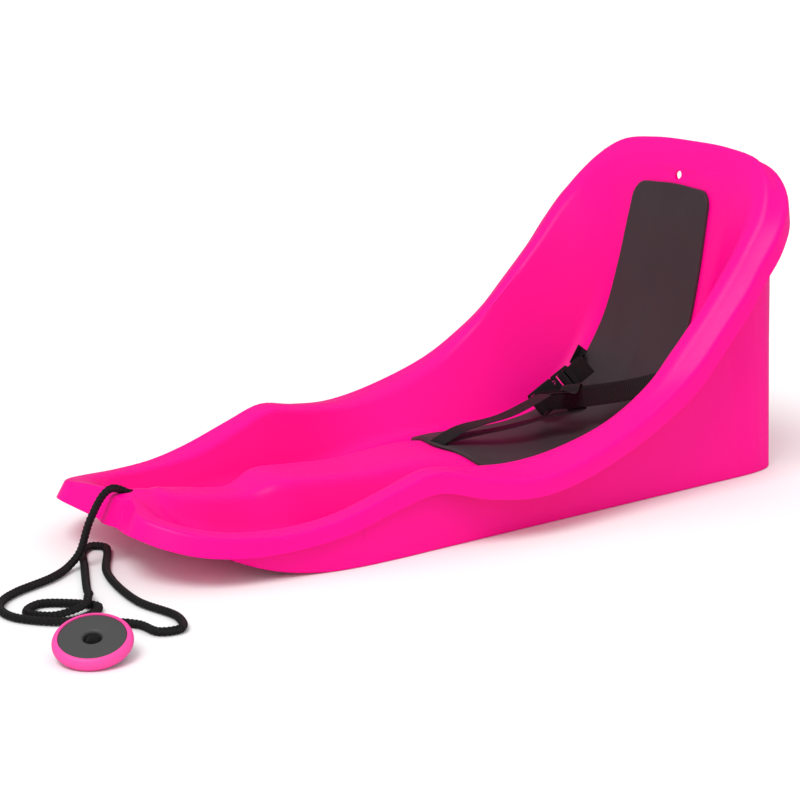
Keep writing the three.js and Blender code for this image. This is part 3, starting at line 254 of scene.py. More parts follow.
class SledLooks(bpy.types.PropertyGroup):
    """Colours and finishes of the sled, shown in the sidebar"""
    shell_colour: StringProperty(
        name="Shell colour", description="sRGB hex of the moulding", default="FF0090")
    pad_colour: StringProperty(
        name="Pad colour", description="sRGB hex of the foam mat", default="3C3135")
    webbing_colour: StringProperty(
        name="Webbing colour", description="sRGB hex of the straps", default="171314")
    buckle_colour: StringProperty(
        name="Buckle colour", description="sRGB hex of the buckle and the anchor bars", default="161618")
    rope_colour: StringProperty(
        name="Rope colour", description="sRGB hex of the rope", default="161617")
    rim_colour: StringProperty(
        name="Handle rim colour", description="sRGB hex of the rim", default="FF4CA6")
    face_colour: StringProperty(
        name="Handle face colour", description="sRGB hex of the face", default="4C4C4D")
    # On the real sled the grain and the ribs are too fine to show, so they are drawn coarser
    grain: FloatProperty(
        name="Mould grain", description="Size of the grain of the moulding", default=0.0011, unit="LENGTH")
    weave: FloatProperty(
        name="Webbing rib", description="Spacing of the ribs of the webbing", default=0.0024, unit="LENGTH")
    braid: FloatProperty(
        name="Braid pitch", description="Length of one plait of the rope", default=0.0045, unit="LENGTH")
    floor_colour: FloatVectorProperty(
        name="Floor colour", description="Colour of the floor",
        subtype="COLOR", size=3, default=(0.9, 0.9, 0.9))


# Curves and surfaces

def curve_point(points, t, closed):
    """Centripetal Catmull-Rom curve through points, at t from 0 to 1."""
    count = len(points)
    place = (count - (0 if closed else 1)) * t
    first = math.floor(place)
    share = place - first
    if not closed and first >= count - 1:
        first, share = count - 2, 1.0
    if closed:
        p0, p1, p2, p3 = (points[(first + k) % count] for k in (-1, 0, 1, 2))
    else:
        p1, p2 = points[first], points[first + 1]
        p0 = points[first - 1] if first > 0 else 2 * p1 - p2
        p3 = points[first + 2] if first + 2 < count else 2 * p2 - p1
    spans = ((p0, p1), (p1, p2), (p2, p3))
    d0, d1, d2 = (max(float(np.dot(b - a, b - a)), TINY) ** 0.25 for a, b in spans)
    d0 = d0 if d0 > SHORT_SPAN else d1
    d2 = d2 if d2 > SHORT_SPAN else d1
    m1 = ((p1 - p0) / d0 - (p2 - p0) / (d0 + d1) + (p2 - p1) / d1) * d1
    m2 = ((p2 - p1) / d1 - (p3 - p1) / (d1 + d2) + (p3 - p2) / d2) * d1
    c2 = -3 * p1 + 3 * p2 - 2 * m1 - m2
    c3 = 2 * p1 - 2 * p2 + m1 + m2
    return p1 + m1 * share + c2 * share ** 2 + c3 * share ** 3


def run_of(line):
    """Length of a line from its start to each of its points."""
    steps = np.linalg.norm(np.diff(np.asarray(line, float), axis=0), axis=1)
    return np.concatenate([[0], np.cumsum(steps)])


def spread(wanted, lengths, values):
    """Values at the wanted lengths along a line."""
    values = np.asarray(values, float)
    return np.array([[np.interp(w, lengths, values[:, a]) for a in range(3)] for w in wanted])


def even_line(points, count):
    """Points evenly spaced along the open curve through a few places."""
    points = [np.array(p, float) for p in points]
    steps = LINE_DENSITY * len(points)
    fine = [curve_point(points, k / steps, False) for k in range(steps + 1)]
    lengths = run_of(fine)
    return spread(np.linspace(0, lengths[-1], count + 1), lengths, fine)


def unit(v):
    """Direction of a vector, one long."""
    return v / np.linalg.norm(v)


def place_of(shares):
    """Place in millimetres from shares of the half width, the length and the height."""
    x, y, z = shares
    return np.array([x * WIDTH / 2, (y - 0.5) * LENGTH, z * HEIGHT])


def mirrored(p):
    """The same place on the other side of the sled."""
    return p * np.array([-1.0, 1.0, 1.0])


def closed_rail(points):
    """Half a rail carried on round the other side."""
    return points + [mirrored(p) for p in reversed(points[1:-1])]


def make_rails():
    """The nine rails that run round the loop of the shell, from the ridge to the rim's lip."""
    ridge, crown, foot, base, inner, crest, dip, outer, lip = ([] for _ in range(9))
    for row in STATIONS:
        ridge.append(place_of((0, row[0][0], row[0][1])))
        base.append(place_of(row[2]) + np.array([0, 0, WALL]))
        inner.append(place_of(row[3]))
        outer.append(place_of(row[4]))
    outer_loop = closed_rail(outer)
    for i, row in enumerate(STATIONS):
        crown_share, foot_share, well = row[1]
        rise, drop, flare = (s * HEIGHT for s in row[5])
        top = ridge[i] + (base[i] - ridge[i]) * crown_share
        top[2] = ridge[i][2]
        low = ridge[i] + (base[i] - ridge[i]) * foot_share
        low[2] += (base[i][2] - low[2]) * well
        crown.append(top)
        foot.append(low)
        crest.append(inner[i] + (outer[i] - inner[i]) * CREST_SHARE + np.array([0, 0, rise]))
        dip.append(crest[i] + (outer[i] - crest[i]) * DIP_SHARE - np.array([0, 0, rise * DIP_SINK]))
        t = i / (2 * LAST)
        ahead = curve_point(outer_loop, t + EDGE_PROBE, True)
        along = ahead - curve_point(outer_loop, max(t - EDGE_PROBE, 0), True)
        outward = unit(np.array([along[1], -along[0], 0]))
        lip.append(outer[i] + outward * flare - np.array([0, 0, drop]))
    return [closed_rail(r) for r in (ridge, crown, foot, base, inner, crest, dip, outer, lip)]


RAILS = make_rails()


def rail_points(station):
    """Where the rails stand at a station, kept over the ground by the wall's thickness."""
    points = [curve_point(rail, station / (2 * LAST), True) for rail in RAILS]
    points[0][0] = 0
    for p in points:
        if station in (0, LAST):
            p[0] = 0
        p[2] = max(p[2], WALL)
    return points


def section_at(station):
    """Cross-section of the skin's top, with each corner rounded by a few points."""
    corners = rail_points(station)
    section = []
    for i, corner in enumerate(corners):
        if ROUNDING[i] == 1:
            section.append(corner)
            continue
        before = corners[i - 1] - corner
        after = corners[i + 1] - corner
        reach = min(REACHES[i], MAX_REACH * np.linalg.norm(before), MAX_REACH * np.linalg.norm(after))
        start = corner + unit(before) * reach
        end = corner + unit(after) * reach
        for k in range(ROUNDING[i]):
            t = k / (ROUNDING[i] - 1)
            section.append((1 - t) ** 2 * start + 2 * t * (1 - t) * corner + t ** 2 * end)
    return np.array(section)


RIDGE = np.array([curve_point(RAILS[0], k / (2 * RIDGE_STEPS), True) for k in range(RIDGE_STEPS + 1)])


def station_where(axis, wanted, low, high):
    """Station between two others at which the ridge reaches a height or a place along the sled."""
    stations = np.linspace(0, LAST, RIDGE_STEPS + 1)
    span = (stations >= low) & (stations <= high)
    return float(np.interp(wanted, RIDGE[span, axis], stations[span]))


SECTIONS = np.array([section_at(LAST * k / SECTION_STEPS) for k in range(SECTION_STEPS + 1)])


def surface_point(station, x):
    """Point of the skin at a distance to the side, where the section first reaches it."""
    place = station / LAST * SECTION_STEPS
    k = min(int(place), SECTION_STEPS - 1)
    section = SECTIONS[k] + (SECTIONS[k + 1] - SECTIONS[k]) * (place - k)
    side = abs(x)
    i = max(1, int(np.argmax(section[:, 0] > side)))
    share = (side - section[i - 1][0]) / (section[i][0] - section[i - 1][0])
    p = section[i - 1] + (section[i] - section[i - 1]) * share
    return np.array([x, p[1], p[2]])


def surface_frame(station, x):
    """Place on the skin, with the directions across it, along it and out of it."""
    along = unit(surface_point(station + STATION_PROBE, x) - surface_point(station - STATION_PROBE, x))
    across = surface_point(station, x + SIDE_PROBE) - surface_point(station, x - SIDE_PROBE)
    out = unit(np.cross(across, along))
    return surface_point(station, x), np.cross(along, out), along, out


def in_frame(place, x, y, z):
    """Place in millimetres from a distance along each direction of a frame."""
    origin, a, b, c = place
    return origin + a * x + b * y + c * z


LAP_STATION = station_where(2, LAP_SLOT_Z, SEAT_DIP, LAST)
CROTCH_STATION = station_where(1, CROTCH_SLOT_Y, SEAT_FRONT, SEAT_DIP)
HANG_STATION = station_where(2, STATIONS[LAST][0][1] * HEIGHT - HANG_HOLE_DROP, SEAT_DIP, LAST)
SLOTS = {
    "right": surface_frame(LAP_STATION, -LAP_SLOT_X),
    "left": surface_frame(LAP_STATION, LAP_SLOT_X),
    "crotch": surface_frame(CROTCH_STATION, 0),
}


# Meshes

def smooth_faces(bm, sharp):
    """Smooth shading, but for edges that turn by more than an angle in degrees."""
    for edge in bm.edges:
        edge.smooth = len(edge.link_faces) != 2 or edge.calc_face_angle(0) < math.radians(sharp)
    for face in bm.faces:
        face.smooth = True


def finish_mesh(name, bm, sharp=CREASE):
    """Object of a bmesh, its doubles merged and its faces turned outwards."""
    bmesh.ops.remove_doubles(bm, verts=bm.verts, dist=MERGE_GAP)
    bmesh.ops.recalc_face_normals(bm, faces=bm.faces)
    smooth_faces(bm, sharp)
    mesh = bpy.data.meshes.new(name)
    bm.to_mesh(mesh)
    bm.free()
    obj = bpy.data.objects.new(name, mesh)
    bpy.context.scene.collection.objects.link(obj)
    return obj


def loft(name, rings, closed=False, uv_width=1.0, sharp=CREASE):
    """Skin over a row of closed rings, capped at both ends unless the row closes on itself."""
    rings = np.asarray(rings, float)
    rows, around = rings.shape[:2]
    bm = bmesh.new()
    columns = rows - (0 if closed else 1)
    bmesh.ops.create_grid(bm, x_segments=columns, y_segments=around, size=0.5)
    bm.loops.layers.uv.new("Along")
    layer = bm.loops.layers.uv["Along"]
    steps = np.linalg.norm(np.diff(rings[:, 0], axis=0), axis=1)
    run = np.concatenate([[0], np.cumsum(steps), [steps.sum() + steps[-1]]]) * MM
    places = {}
    for vert in bm.verts:
        places[vert] = (round((vert.co.x + 0.5) * columns), round((vert.co.y + 0.5) * around))
    for face in bm.faces:
        for loop in face.loops:
            i, j = places[loop.vert]
            loop[layer].uv = (run[i], j / around * uv_width)
    for vert, (i, j) in places.items():
        vert.co = Vector(rings[i % rows][j % around]) * MM
    bmesh.ops.remove_doubles(bm, verts=bm.verts, dist=MERGE_GAP)
    if not closed:
        rim = [edge for edge in bm.edges if edge.is_boundary]
        bmesh.ops.holes_fill(bm, edges=rim, sides=0)
    return finish_mesh(name, bm, sharp)


def mark_creases(obj):
    """Marks the sharp edges of a piece anew, as a cut loses them."""
    bm = bmesh.new()
    bm.from_mesh(obj.data)
    smooth_faces(bm, CREASE)
    bm.to_mesh(obj.data)
    bm.free()


def carve(obj, others, operation="DIFFERENCE"):
    """Cuts the other pieces out of a piece, or joins them to it, and removes them."""
    for other in others:
        modifier = obj.modifiers.new("carve", "BOOLEAN")
        modifier.operation = operation
        modifier.solver = "MANIFOLD"
        modifier.object = other
    graph = bpy.context.evaluated_depsgraph_get()
    mesh = bpy.data.meshes.new_from_object(obj.evaluated_get(graph))
    obj.modifiers.clear()
    obj.data = mesh
    for other in others:
        bpy.data.objects.remove(other, do_unlink=True)
    mark_creases(obj)


def slot_cutter(place, along_y):
    """Rounded slot bar, in a surface frame, its long side along y or x."""
    ring = []
    half = SLOT_LENGTH / 2 - SLOT_WIDTH / 2
    for k in range(SLOT_FACETS):
        angle = 2 * math.pi * (k + 0.5) / SLOT_FACETS
        a = math.cos(angle) * SLOT_WIDTH / 2 + math.copysign(half, math.cos(angle))
        b = math.sin(angle) * SLOT_WIDTH / 2
        ring.append((b, a) if along_y else (a, b))
    rings = [[in_frame(place, x, y, z) for x, y in ring] for z in (-CUT_DEPTH, CUT_DEPTH)]
    return loft("cutter", rings)


def round_cutter(origin, direction, diameter):
    """Round bar through a place, along a direction."""
    direction = unit(np.array(direction, float))
    side = unit(np.cross(direction, [1.0, 0.1, 0.0]))
    other = np.cross(direction, side)
    angles = [2 * math.pi * k / HOLE_FACETS for k in range(HOLE_FACETS)]
    rim = [diameter / 2 * (side * math.cos(a) + other * math.sin(a)) for a in angles]
    rings = [[origin + direction * z + spoke for spoke in rim] for z in (-CUT_DEPTH, CUT_DEPTH)]
    return loft("cutter", rings)


def strap_cutters():
    """Bars that cut the three slots of the straps."""
    return [slot_cutter(SLOTS[name], name != "crotch") for name in SLOTS]


def skin_normals(grid):
    """Normals of the closed skin, kept in the middle plane along the ridge."""
    along = np.roll(grid, -1, axis=0) - np.roll(grid, 1, axis=0)
    across = np.gradient(grid, axis=1)
    normals = np.cross(across, along)
    normals[:, 0, 0] = 0
    first = normals[:, 0] + normals[-np.arange(len(grid)) % len(grid), 0] * np.array([-1, 1, 1])
    normals[:, 0] = first * np.array([0, 1, 1])
    return normals / np.maximum(np.linalg.norm(normals, axis=2, keepdims=True), TINY)


def shell_rings():
    """Sections round the whole loop, each with its underside, one wall lower along the normals."""
    half = [section_at(LAST * j / SKIN_COLUMNS) for j in range(SKIN_COLUMNS + 1)]
    grid = np.array(half + [mirrored(s) for s in reversed(half[1:-1])])
    under = grid - skin_normals(grid) * WALL
    under[:, :, 2] = np.maximum(under[:, :, 2], 0)
    return np.concatenate([grid, under[:, ::-1]], axis=1)


def hull_top(station):
    """Place within the skin that the hull wall rises to."""
    low, high = STATIONS[int(station)][6][2], STATIONS[min(int(station) + 1, LAST)][6][2]
    rail = low + (high - low) * (station - int(station))
    first = int(rail)
    points = rail_points(station)
    top = points[first] + (points[first + 1] - points[first]) * (rail - first)
    near = rail_points(min(station, LAST - HULL_PROBE))
    beyond = rail_points(min(station, LAST - HULL_PROBE) + HULL_PROBE)
    inward = np.cross(near[first + 1] - near[first], beyond[first] - near[first])
    if station == LAST:
        inward[0] = 0
    return top - unit(inward) * WALL * HULL_SINK


def hull_rings():
    """Sections of the hull wall, from its wide foot on the ground up into the skin."""
    foot_points = [place_of((row[6][0], row[6][1], 0)) for row in STATIONS[FIRST_HULL:]]
    foot_line = foot_points + [mirrored(p) for p in reversed(foot_points[:-1])]
    rings = []
    for j in range(2 * HULL_COLUMNS + 1):
        t = j / (2 * HULL_COLUMNS)
        bottom = curve_point(foot_line, t, False)
        ahead = curve_point(foot_line, min(t + FOOT_PROBE, 1), False)
        tangent = ahead - curve_point(foot_line, max(t - FOOT_PROBE, 0), False)
        outward = unit(np.array([tangent[1], -tangent[0], 0]))
        past_bow = max(0.0, BOW_START - bottom[1])
        bottom[2] = BOW_RADIUS - math.sqrt(BOW_RADIUS ** 2 - past_bow ** 2)
        top = hull_top(FIRST_HULL + 2 * (LAST - FIRST_HULL) * min(t, 1 - t))
        if t > 0.5:
            top[0] = -top[0]
        foothold = min(FOOT_HEIGHT, (top[2] - bottom[2]) / 2)
        outer_top = top + outward * WALL * HULL_TOP_SHARE
        step = bottom + (outer_top - bottom) * foothold / (top[2] - bottom[2])
        soft = outward * FOOT_EDGE
        rise = np.array([0, 0, FOOT_EDGE])
        rings.append([
            step - outward * WALL, step - outward * FOOT_WIDTH, bottom - outward * FOOT_WIDTH + rise,
            bottom - outward * FOOT_WIDTH + soft, bottom - soft, bottom + rise, outer_top,
            top - outward * WALL * HULL_TOP_SHARE,
        ])
    return rings


def pad_half_width(up):
    """Half the width of the mat, at a share of its way up."""
    hips = PAD_FRONT_HALF + (PAD_SEAT_HALF - PAD_FRONT_HALF) * min(1, up / PAD_HIP_SHARE)
    taper = max(0, (up - PAD_HIP_SHARE) / (1 - PAD_HIP_SHARE)) ** PAD_TAPER_POWER
    return hips + (PAD_TOP_HALF - hips) * taper


def pad_frame(u, v):
    """Place of the mat on the skin, u from side to side and v from its front to its top."""
    x = math.sin(u * math.pi / 2) * pad_half_width(v)
    side = abs(x)
    corner = max(0, side - (PAD_TOP_HALF - PAD_TOP_CORNER))
    drop = PAD_TOP_CORNER - math.sqrt(max(0, PAD_TOP_CORNER ** 2 - corner ** 2))
    top_z = PAD_TOP_Z - PAD_TOP_CROWN * (side / PAD_TOP_HALF) ** 2 - drop
    front_y = PAD_FRONT_Y + PAD_FRONT_SETBACK * (side / PAD_FRONT_HALF) ** 2
    first = station_where(1, front_y, SEAT_FRONT, SEAT_DIP)
    last = station_where(2, top_z, SEAT_DIP, LAST)
    return surface_frame(first + (last - first) * v, x)


def pad_rings():
    """Sections of the mat from front to top, thinned to a soft edge all round."""
    rings = []
    for j in range(PAD_ROWS + 1):
        v = (1 - math.cos(math.pi * j / PAD_ROWS)) / 2
        frames = [pad_frame(2 * i / PAD_COLUMNS - 1, v) for i in range(PAD_COLUMNS + 1)]
        end = min(1, math.sin(math.pi * j / PAD_ROWS) * PAD_END_RISE)
        ring = [in_frame(f, 0, 0, PAD_GAP) for f in frames]
        for i in range(PAD_COLUMNS, -1, -1):
            u = abs(2 * i / PAD_COLUMNS - 1)
            thick = PAD_THICKNESS * (1 - PAD_EDGE_DROP * u ** PAD_EDGE_POWER)
            thick *= PAD_END_SHARE + (1 - PAD_END_SHARE) * end
            ring.append(in_frame(frames[i], 0, 0, PAD_GAP + thick))
        rings.append(ring)
    return rings


# Harness lines

def squared_widths(line, widths):
    """Tangents of a line, and its widths made square to them."""
    tangents = np.gradient(line, axis=0)
    tangents /= np.linalg.norm(tangents, axis=1, keepdims=True)
    widths = widths - tangents * np.sum(tangents * widths, axis=1, keepdims=True)
    widths /= np.linalg.norm(widths, axis=1, keepdims=True)
    return tangents, widths


def ribbon(name, line, widths):
    """Band of webbing along a line, with thinned edges."""
    line = np.asarray(line, float)
    tangents, widths = squared_widths(line, np.asarray(widths, float))
    outs = np.cross(tangents, widths)
    half, thick = STRAP_WIDTH / 2, STRAP_THICKNESS / 2
    upper = []
    for k in range(STRAP_COLUMNS + 1):
        share = 1 if 0 < k < STRAP_COLUMNS else STRAP_EDGE
        upper.append((half - 2 * half * k / STRAP_COLUMNS, thick * share))
    outline = upper + [(-a, -b) for a, b in upper]
    rings = [[p + w * a + o * b for a, b in outline] for p, w, o in zip(line, widths, outs)]
    return loft(name, rings, uv_width=STRAP_GIRTH * STRAP_WIDTH * MM, sharp=WEBBING_CREASE)


def refine(line, widths):
    """Evens out a strap's line, with a little smoothing of its corners."""
    lengths = run_of(line)
    wanted = np.linspace(0, lengths[-1], int(lengths[-1] / STRAP_STEP) + 1)
    line, widths = spread(wanted, lengths, line), spread(wanted, lengths, widths)
    for _ in range(STRAP_SMOOTHING):
        line[1:-1] = 0.25 * line[:-2] + 0.5 * line[1:-1] + 0.25 * line[2:]
    return line, widths


def blend_directions(first, last, count):
    """Directions that turn evenly from the first to the last."""
    return [unit(first + (last - first) * i / (count - 1)) for i in range(count)]


def anchor_loop():
    """Course of the webbing in through a slot, round its anchor bar and out, across and out of it."""
    mouth = SLOT_WIDTH / 2 - SEAT_GAP - STRAP_THICKNESS / 2
    lay = (STRAP_THICKNESS + SEAT_GAP) / 2 + SEAT_GAP / 2
    loop = [(lay, TAIL), (lay, TAIL / 2), (lay, ABOVE_PAD), (mouth, 0), (mouth, -WALL)]
    for k in range(TURN_STEPS + 1):
        angle = -math.pi * (TURN_OVERLAP + (1 - 2 * TURN_OVERLAP) * k / TURN_STEPS)
        loop.append((ANCHOR_TURN * math.cos(angle), ANCHOR_TURN * math.sin(angle) - ANCHOR_DEPTH))
    return loop + [(-mouth, -WALL), (-mouth, 0), (-lay, ABOVE_PAD), (-lay, TAIL / 2)]


def slot_webbing(place, along_y, flip):
    """The anchor loop at a slot."""
    if along_y:
        return [in_frame(place, flip * side, 0, out) for side, out in anchor_loop()]
    return [in_frame(place, 0, flip * side, out) for side, out in anchor_loop()]


def buckle_place():
    """Frame of the buckle: its place, then along it, across it and out of its face."""
    along = unit(np.array(BUCKLE_AIM))
    out = np.array(BUCKLE_FACE)
    out = unit(out - along * np.dot(out, along))
    return place_of(BUCKLE_PLACE), along, np.cross(out, along), out


BUCKLE = buckle_place()
PLUG_START = SOCKET_LENGTH + RUNNING_GAP
PLUG_END = PLUG_START + PLUG_LENGTH
MIDDLE_BAR = PLUG_START + LADDER_BAR + ARM_ROOT + LADDER_OPENING
OUTER_OPENING = MIDDLE_BAR + LADDER_BAR


def joined_course(start, free, end, width_start, width_end):
    """One course from its start over its free part to its end, with the direction of its width."""
    line = list(start[:-1]) + list(free) + list(end[1:])
    widths = [width_start] * (len(start) - 1) + blend_directions(width_start, width_end, len(free))
    return line, widths + [width_end] * (len(end) - 1)


def right_lap_course():
    """From the right slot to the plug, over its ladder bars and out as a tail."""
    start = slot_webbing(SLOTS["right"], True, 1)
    grip = PLUG_THICKNESS / 2 + SEAT_GAP + STRAP_THICKNESS / 2
    second = grip + 2 * (STRAP_THICKNESS + SEAT_GAP)
    inner, outer = MIDDLE_BAR - LADDER_OPENING / 2, OUTER_OPENING + LADDER_OPENING / 2
    edge = PLUG_THICKNESS / 2 + STRAP_THICKNESS / 2 + RUNNING_GAP / 2
    top = grip + RUNNING_GAP
    quarter = LADDER_BAR / 4
    thread = [in_frame(BUCKLE, x, 0, z) for x, z in (
        (PLUG_END + LADDER_BAR, -second), (MIDDLE_BAR + quarter, -second), (inner, -edge), (inner, edge),
        (MIDDLE_BAR + quarter, top), (OUTER_OPENING - quarter, top), (outer, edge), (outer, -edge),
        (outer + LADDER_OPENING / 2, -top), (PLUG_END + TAIL, -top))]
    free = even_line([start[-1], *map(place_of, RIGHT_LAP), thread[0]], RIGHT_STEPS)
    return joined_course(start, free, thread, SLOTS["right"][2], BUCKLE[2])


def left_lap_course():
    """From the left slot round the bar of the socket, with the point that the crotch strap rings."""
    start = slot_webbing(SLOTS["left"], True, -1)
    face = BUCKLE_THICKNESS / 2 + SEAT_GAP + STRAP_THICKNESS / 2
    over = face + STRAP_THICKNESS + SEAT_GAP + STRAP_LIFT
    wrap = WEB_BAR / 2 + SEAT_GAP + STRAP_THICKNESS / 2
    turn = [(SOCKET_LENGTH / 3, over), (WEB_BAR, face)]
    for k in range(TURN_STEPS + 1):
        angle = math.pi * (WEB_TURN_START + WEB_TURN * k / TURN_STEPS)
        turn.append((WEB_BAR / 2 + wrap * math.cos(angle), wrap * math.sin(angle)))
    bar = [in_frame(BUCKLE, x, 0, z) for x, z in turn]
    free = even_line([start[-1], *map(place_of, LEFT_LAP), bar[0]], LEFT_STEPS)
    line, widths = joined_course(start, free, bar, SLOTS["left"][2], BUCKLE[2])
    return line, widths, len(start) - 1 + round(LEFT_STEPS * CROTCH_LOOP_SHARE)


def crotch_course():
    """From the crotch slot as two layers that end in a loop round the left lap strap."""
    lap, lap_widths, k = left_lap_course()
    centre = lap[k]
    along = unit(lap[k + LOOP_PROBE] - lap[k - LOOP_PROBE])
    up = unit(lap_widths[k] - along * np.dot(along, lap_widths[k]))
    up = up if up[2] > 0 else -up
    ahead = np.cross(up, along)
    ahead = ahead if ahead[1] < 0 else -ahead
    edge = STRAP_WIDTH / 2 + LOOP_GAP + STRAP_THICKNESS / 2
    side = STRAP_THICKNESS + LOOP_GAP
    wrapped = [centre + up * rise + ahead * out for rise, out in (
        (-edge, 3 * side), (-edge, side), (-edge, -side / 2), (-edge / 2, -side), (edge / 2, -side),
        (edge, -side / 2), (edge, side), (edge / 2, 3 * side))]
    slot = slot_webbing(SLOTS["crotch"], False, 1)[2:-1]
    low = even_line([*map(place_of, reversed(CROTCH_LOW)), slot[0]], CROTCH_STEPS)
    high = even_line([slot[-1], *map(place_of, CROTCH_HIGH)], CROTCH_STEPS)
    flat = SLOTS["crotch"][1]
    along = along if np.dot(along, flat) > 0 else -along
    line = [*reversed(wrapped[:2]), *low, *slot[1:], *high[1:], *reversed(wrapped[2:])]
    widths = [along] * 2 + blend_directions(along, flat, len(low)) + [flat] * (len(slot) - 1)
    return line, widths + blend_directions(flat, along, len(high) - 1) + [along] * (len(wrapped) - 2)


# Materials

def add_node(tree, kind, place, inputs=(), **settings):
    """A node with its settings, its sockets set to values or linked to other sockets."""
    node = tree.nodes.new(kind)
    node.location = place
    for name, value in settings.items():
        setattr(node, name, value)
    for socket, value in inputs:
        if isinstance(value, bpy.types.NodeSocket):
            tree.links.new(value, node.inputs[socket])
        else:
            node.inputs[socket].default_value = value
    return node


def linear(text):
    """Linear colour of an sRGB hex."""
    parts = [int(text[k:k + 2], 16) / 255 for k in (0, 2, 4)]
    return [p / 12.92 if p <= 0.04045 else ((p + 0.055) / 1.055) ** 2.4 for p in parts] + [1.0]


def new_material(name, note):
    """An empty node material with a note on what the real piece is made of."""
    material = bpy.data.materials.new(name)
    material["note"] = note
    material.use_nodes = True
    tree = material.node_tree
    tree.nodes.clear()
    return material, tree


def close_material(tree, base, roughness, ior, extra=(), relief=None):
    """Ends a material: a shader with its colour and finish, and a relief where it has one.

    The relief is the height that it follows, its strength and its depth in metres."""
    finish = [("Base Color", base), ("Roughness", roughness), ("IOR", ior), *extra]
    if relief:
        height, strength, depth = relief
        bump = add_node(tree, "ShaderNodeBump", (0, -200), [
            ("Height", height), ("Strength", strength), ("Distance", depth)])
        finish.append(("Normal", bump.outputs["Normal"]))
    bsdf = add_node(tree, "ShaderNodeBsdfPrincipled", (200, 0), finish)
    out = add_node(tree, "ShaderNodeOutputMaterial", (600, 0))
    tree.links.new(bsdf.outputs["BSDF"], out.inputs["Surface"])


def speckle(tree, size, detail, place):
    """Noise in object space whose cells are about size metres across."""
    coords = add_node(tree, "ShaderNodeTexCoord", (place[0] - 200, place[1]))
    return add_node(tree, "ShaderNodeTexNoise", place, [
        ("Vector", coords.outputs["Object"]), ("Scale", 0.5 / size),
        ("Detail", detail), ("Roughness", 0.55)])


def darkened_where_low(tree, colour, factor, depth, place):
    """Colour that darkens by up to depth where factor is low: random mottle on the plastics and the foam,
    painted shade in the grooves of the webbing and the rope.
    """
    dark = [c * (1 - depth) for c in colour[:3]] + [1.0]
    ramp = add_node(tree, "ShaderNodeMapRange", (place[0] - 200, place[1]), [
        ("Value", factor), ("From Min", 0.35), ("From Max", 0.65)])
    return add_node(tree, "ShaderNodeMix", place, [
        ("Factor", ramp.outputs["Result"]), (6, dark), (7, colour)], data_type="RGBA").outputs[2]


def moulded_material(name, note, colour, grain, roughness, relief, mottle=0.06, shine=0.5):
    """Moulded plastic: an even colour, with a satin sheen that a fine grain breaks up."""
    material, tree = new_material(name, note)
    fine = speckle(tree, grain, 2, (-600, -200))
    broad = speckle(tree, 0.07, 2, (-600, 200))
    base = darkened_where_low(tree, colour, broad.outputs["Fac"], mottle, (-300, 200))
    gloss = add_node(tree, "ShaderNodeMapRange", (-300, 0), [
        ("Value", fine.outputs["Fac"]), ("From Min", 0.3), ("From Max", 0.7),
        ("To Min", roughness - 0.05), ("To Max", roughness + 0.07)])
    close_material(tree, base, gloss.outputs["Result"], PLASTIC_IOR, [("Specular IOR Level", shine)],
                   relief=(fine.outputs["Fac"], relief, 0.0003))
    return material


def foam_material(colour):
    """Closed-cell foam sheet: dark and matt, with the fine leathery relief of its skin."""
    material, tree = new_material("Pad foam", "closed-cell EVA foam sheet with a fine leathery skin")
    fine = speckle(tree, 0.0009, 3, (-600, -200))
    broad = speckle(tree, 0.05, 3, (-600, 200))
    base = darkened_where_low(tree, colour, broad.outputs["Fac"], 0.12, (-300, 200))
    close_material(tree, base, 0.62, FIBRE_IOR, [("Sheen Weight", 0.02)],
                   relief=(fine.outputs["Fac"], 0.35, 0.0004))
    return material


def wave_of(tree, value, pitch, phase, place):
    """Cosine of a length in metres, one swing per pitch."""
    turns = add_node(tree, "ShaderNodeMath", (place[0] - 200, place[1]), [
        (0, value), (1, 2 * math.pi / pitch), (2, phase)], operation="MULTIPLY_ADD")
    return add_node(tree, "ShaderNodeMath", place, [(0, turns.outputs[0])], operation="COSINE").outputs[0]


def webbing_material(colour, rib):
    """Woven webbing: a dull sheen on ribs across the band, crossed by fine wales along it, with painted
    shade in the grooves between them.
    """
    material, tree = new_material("Webbing", "woven polypropylene webbing, ribbed across, with a selvedge")
    uv = add_node(tree, "ShaderNodeUVMap", (-1200, 0), uv_map="Along")
    parts = add_node(tree, "ShaderNodeSeparateXYZ", (-1000, 0), [("Vector", uv.outputs["UV"])])
    ribs = wave_of(tree, parts.outputs["X"], rib, 0, (-600, 0))
    wales = wave_of(tree, parts.outputs["Y"], rib * 0.8, 0.4, (-600, -200))
    weave = add_node(tree, "ShaderNodeMath", (-400, -100), [(0, wales), (1, 0.2), (2, ribs)],
                     operation="MULTIPLY_ADD")
    level = add_node(tree, "ShaderNodeMapRange", (-200, -100), [
        ("Value", weave.outputs[0]), ("From Min", -1.2), ("From Max", 1.2)])
    # Painted shade: the colour darkens by up to 70 per cent in the grooves between the ribs, where the
    # relief is low.
    base = darkened_where_low(tree, colour, level.outputs["Result"], 0.7, (-100, 200))
    close_material(tree, base, 0.62, FIBRE_IOR, [("Sheen Weight", 0.03)],
                   relief=(level.outputs["Result"], 1.0, 0.0008))
    return material


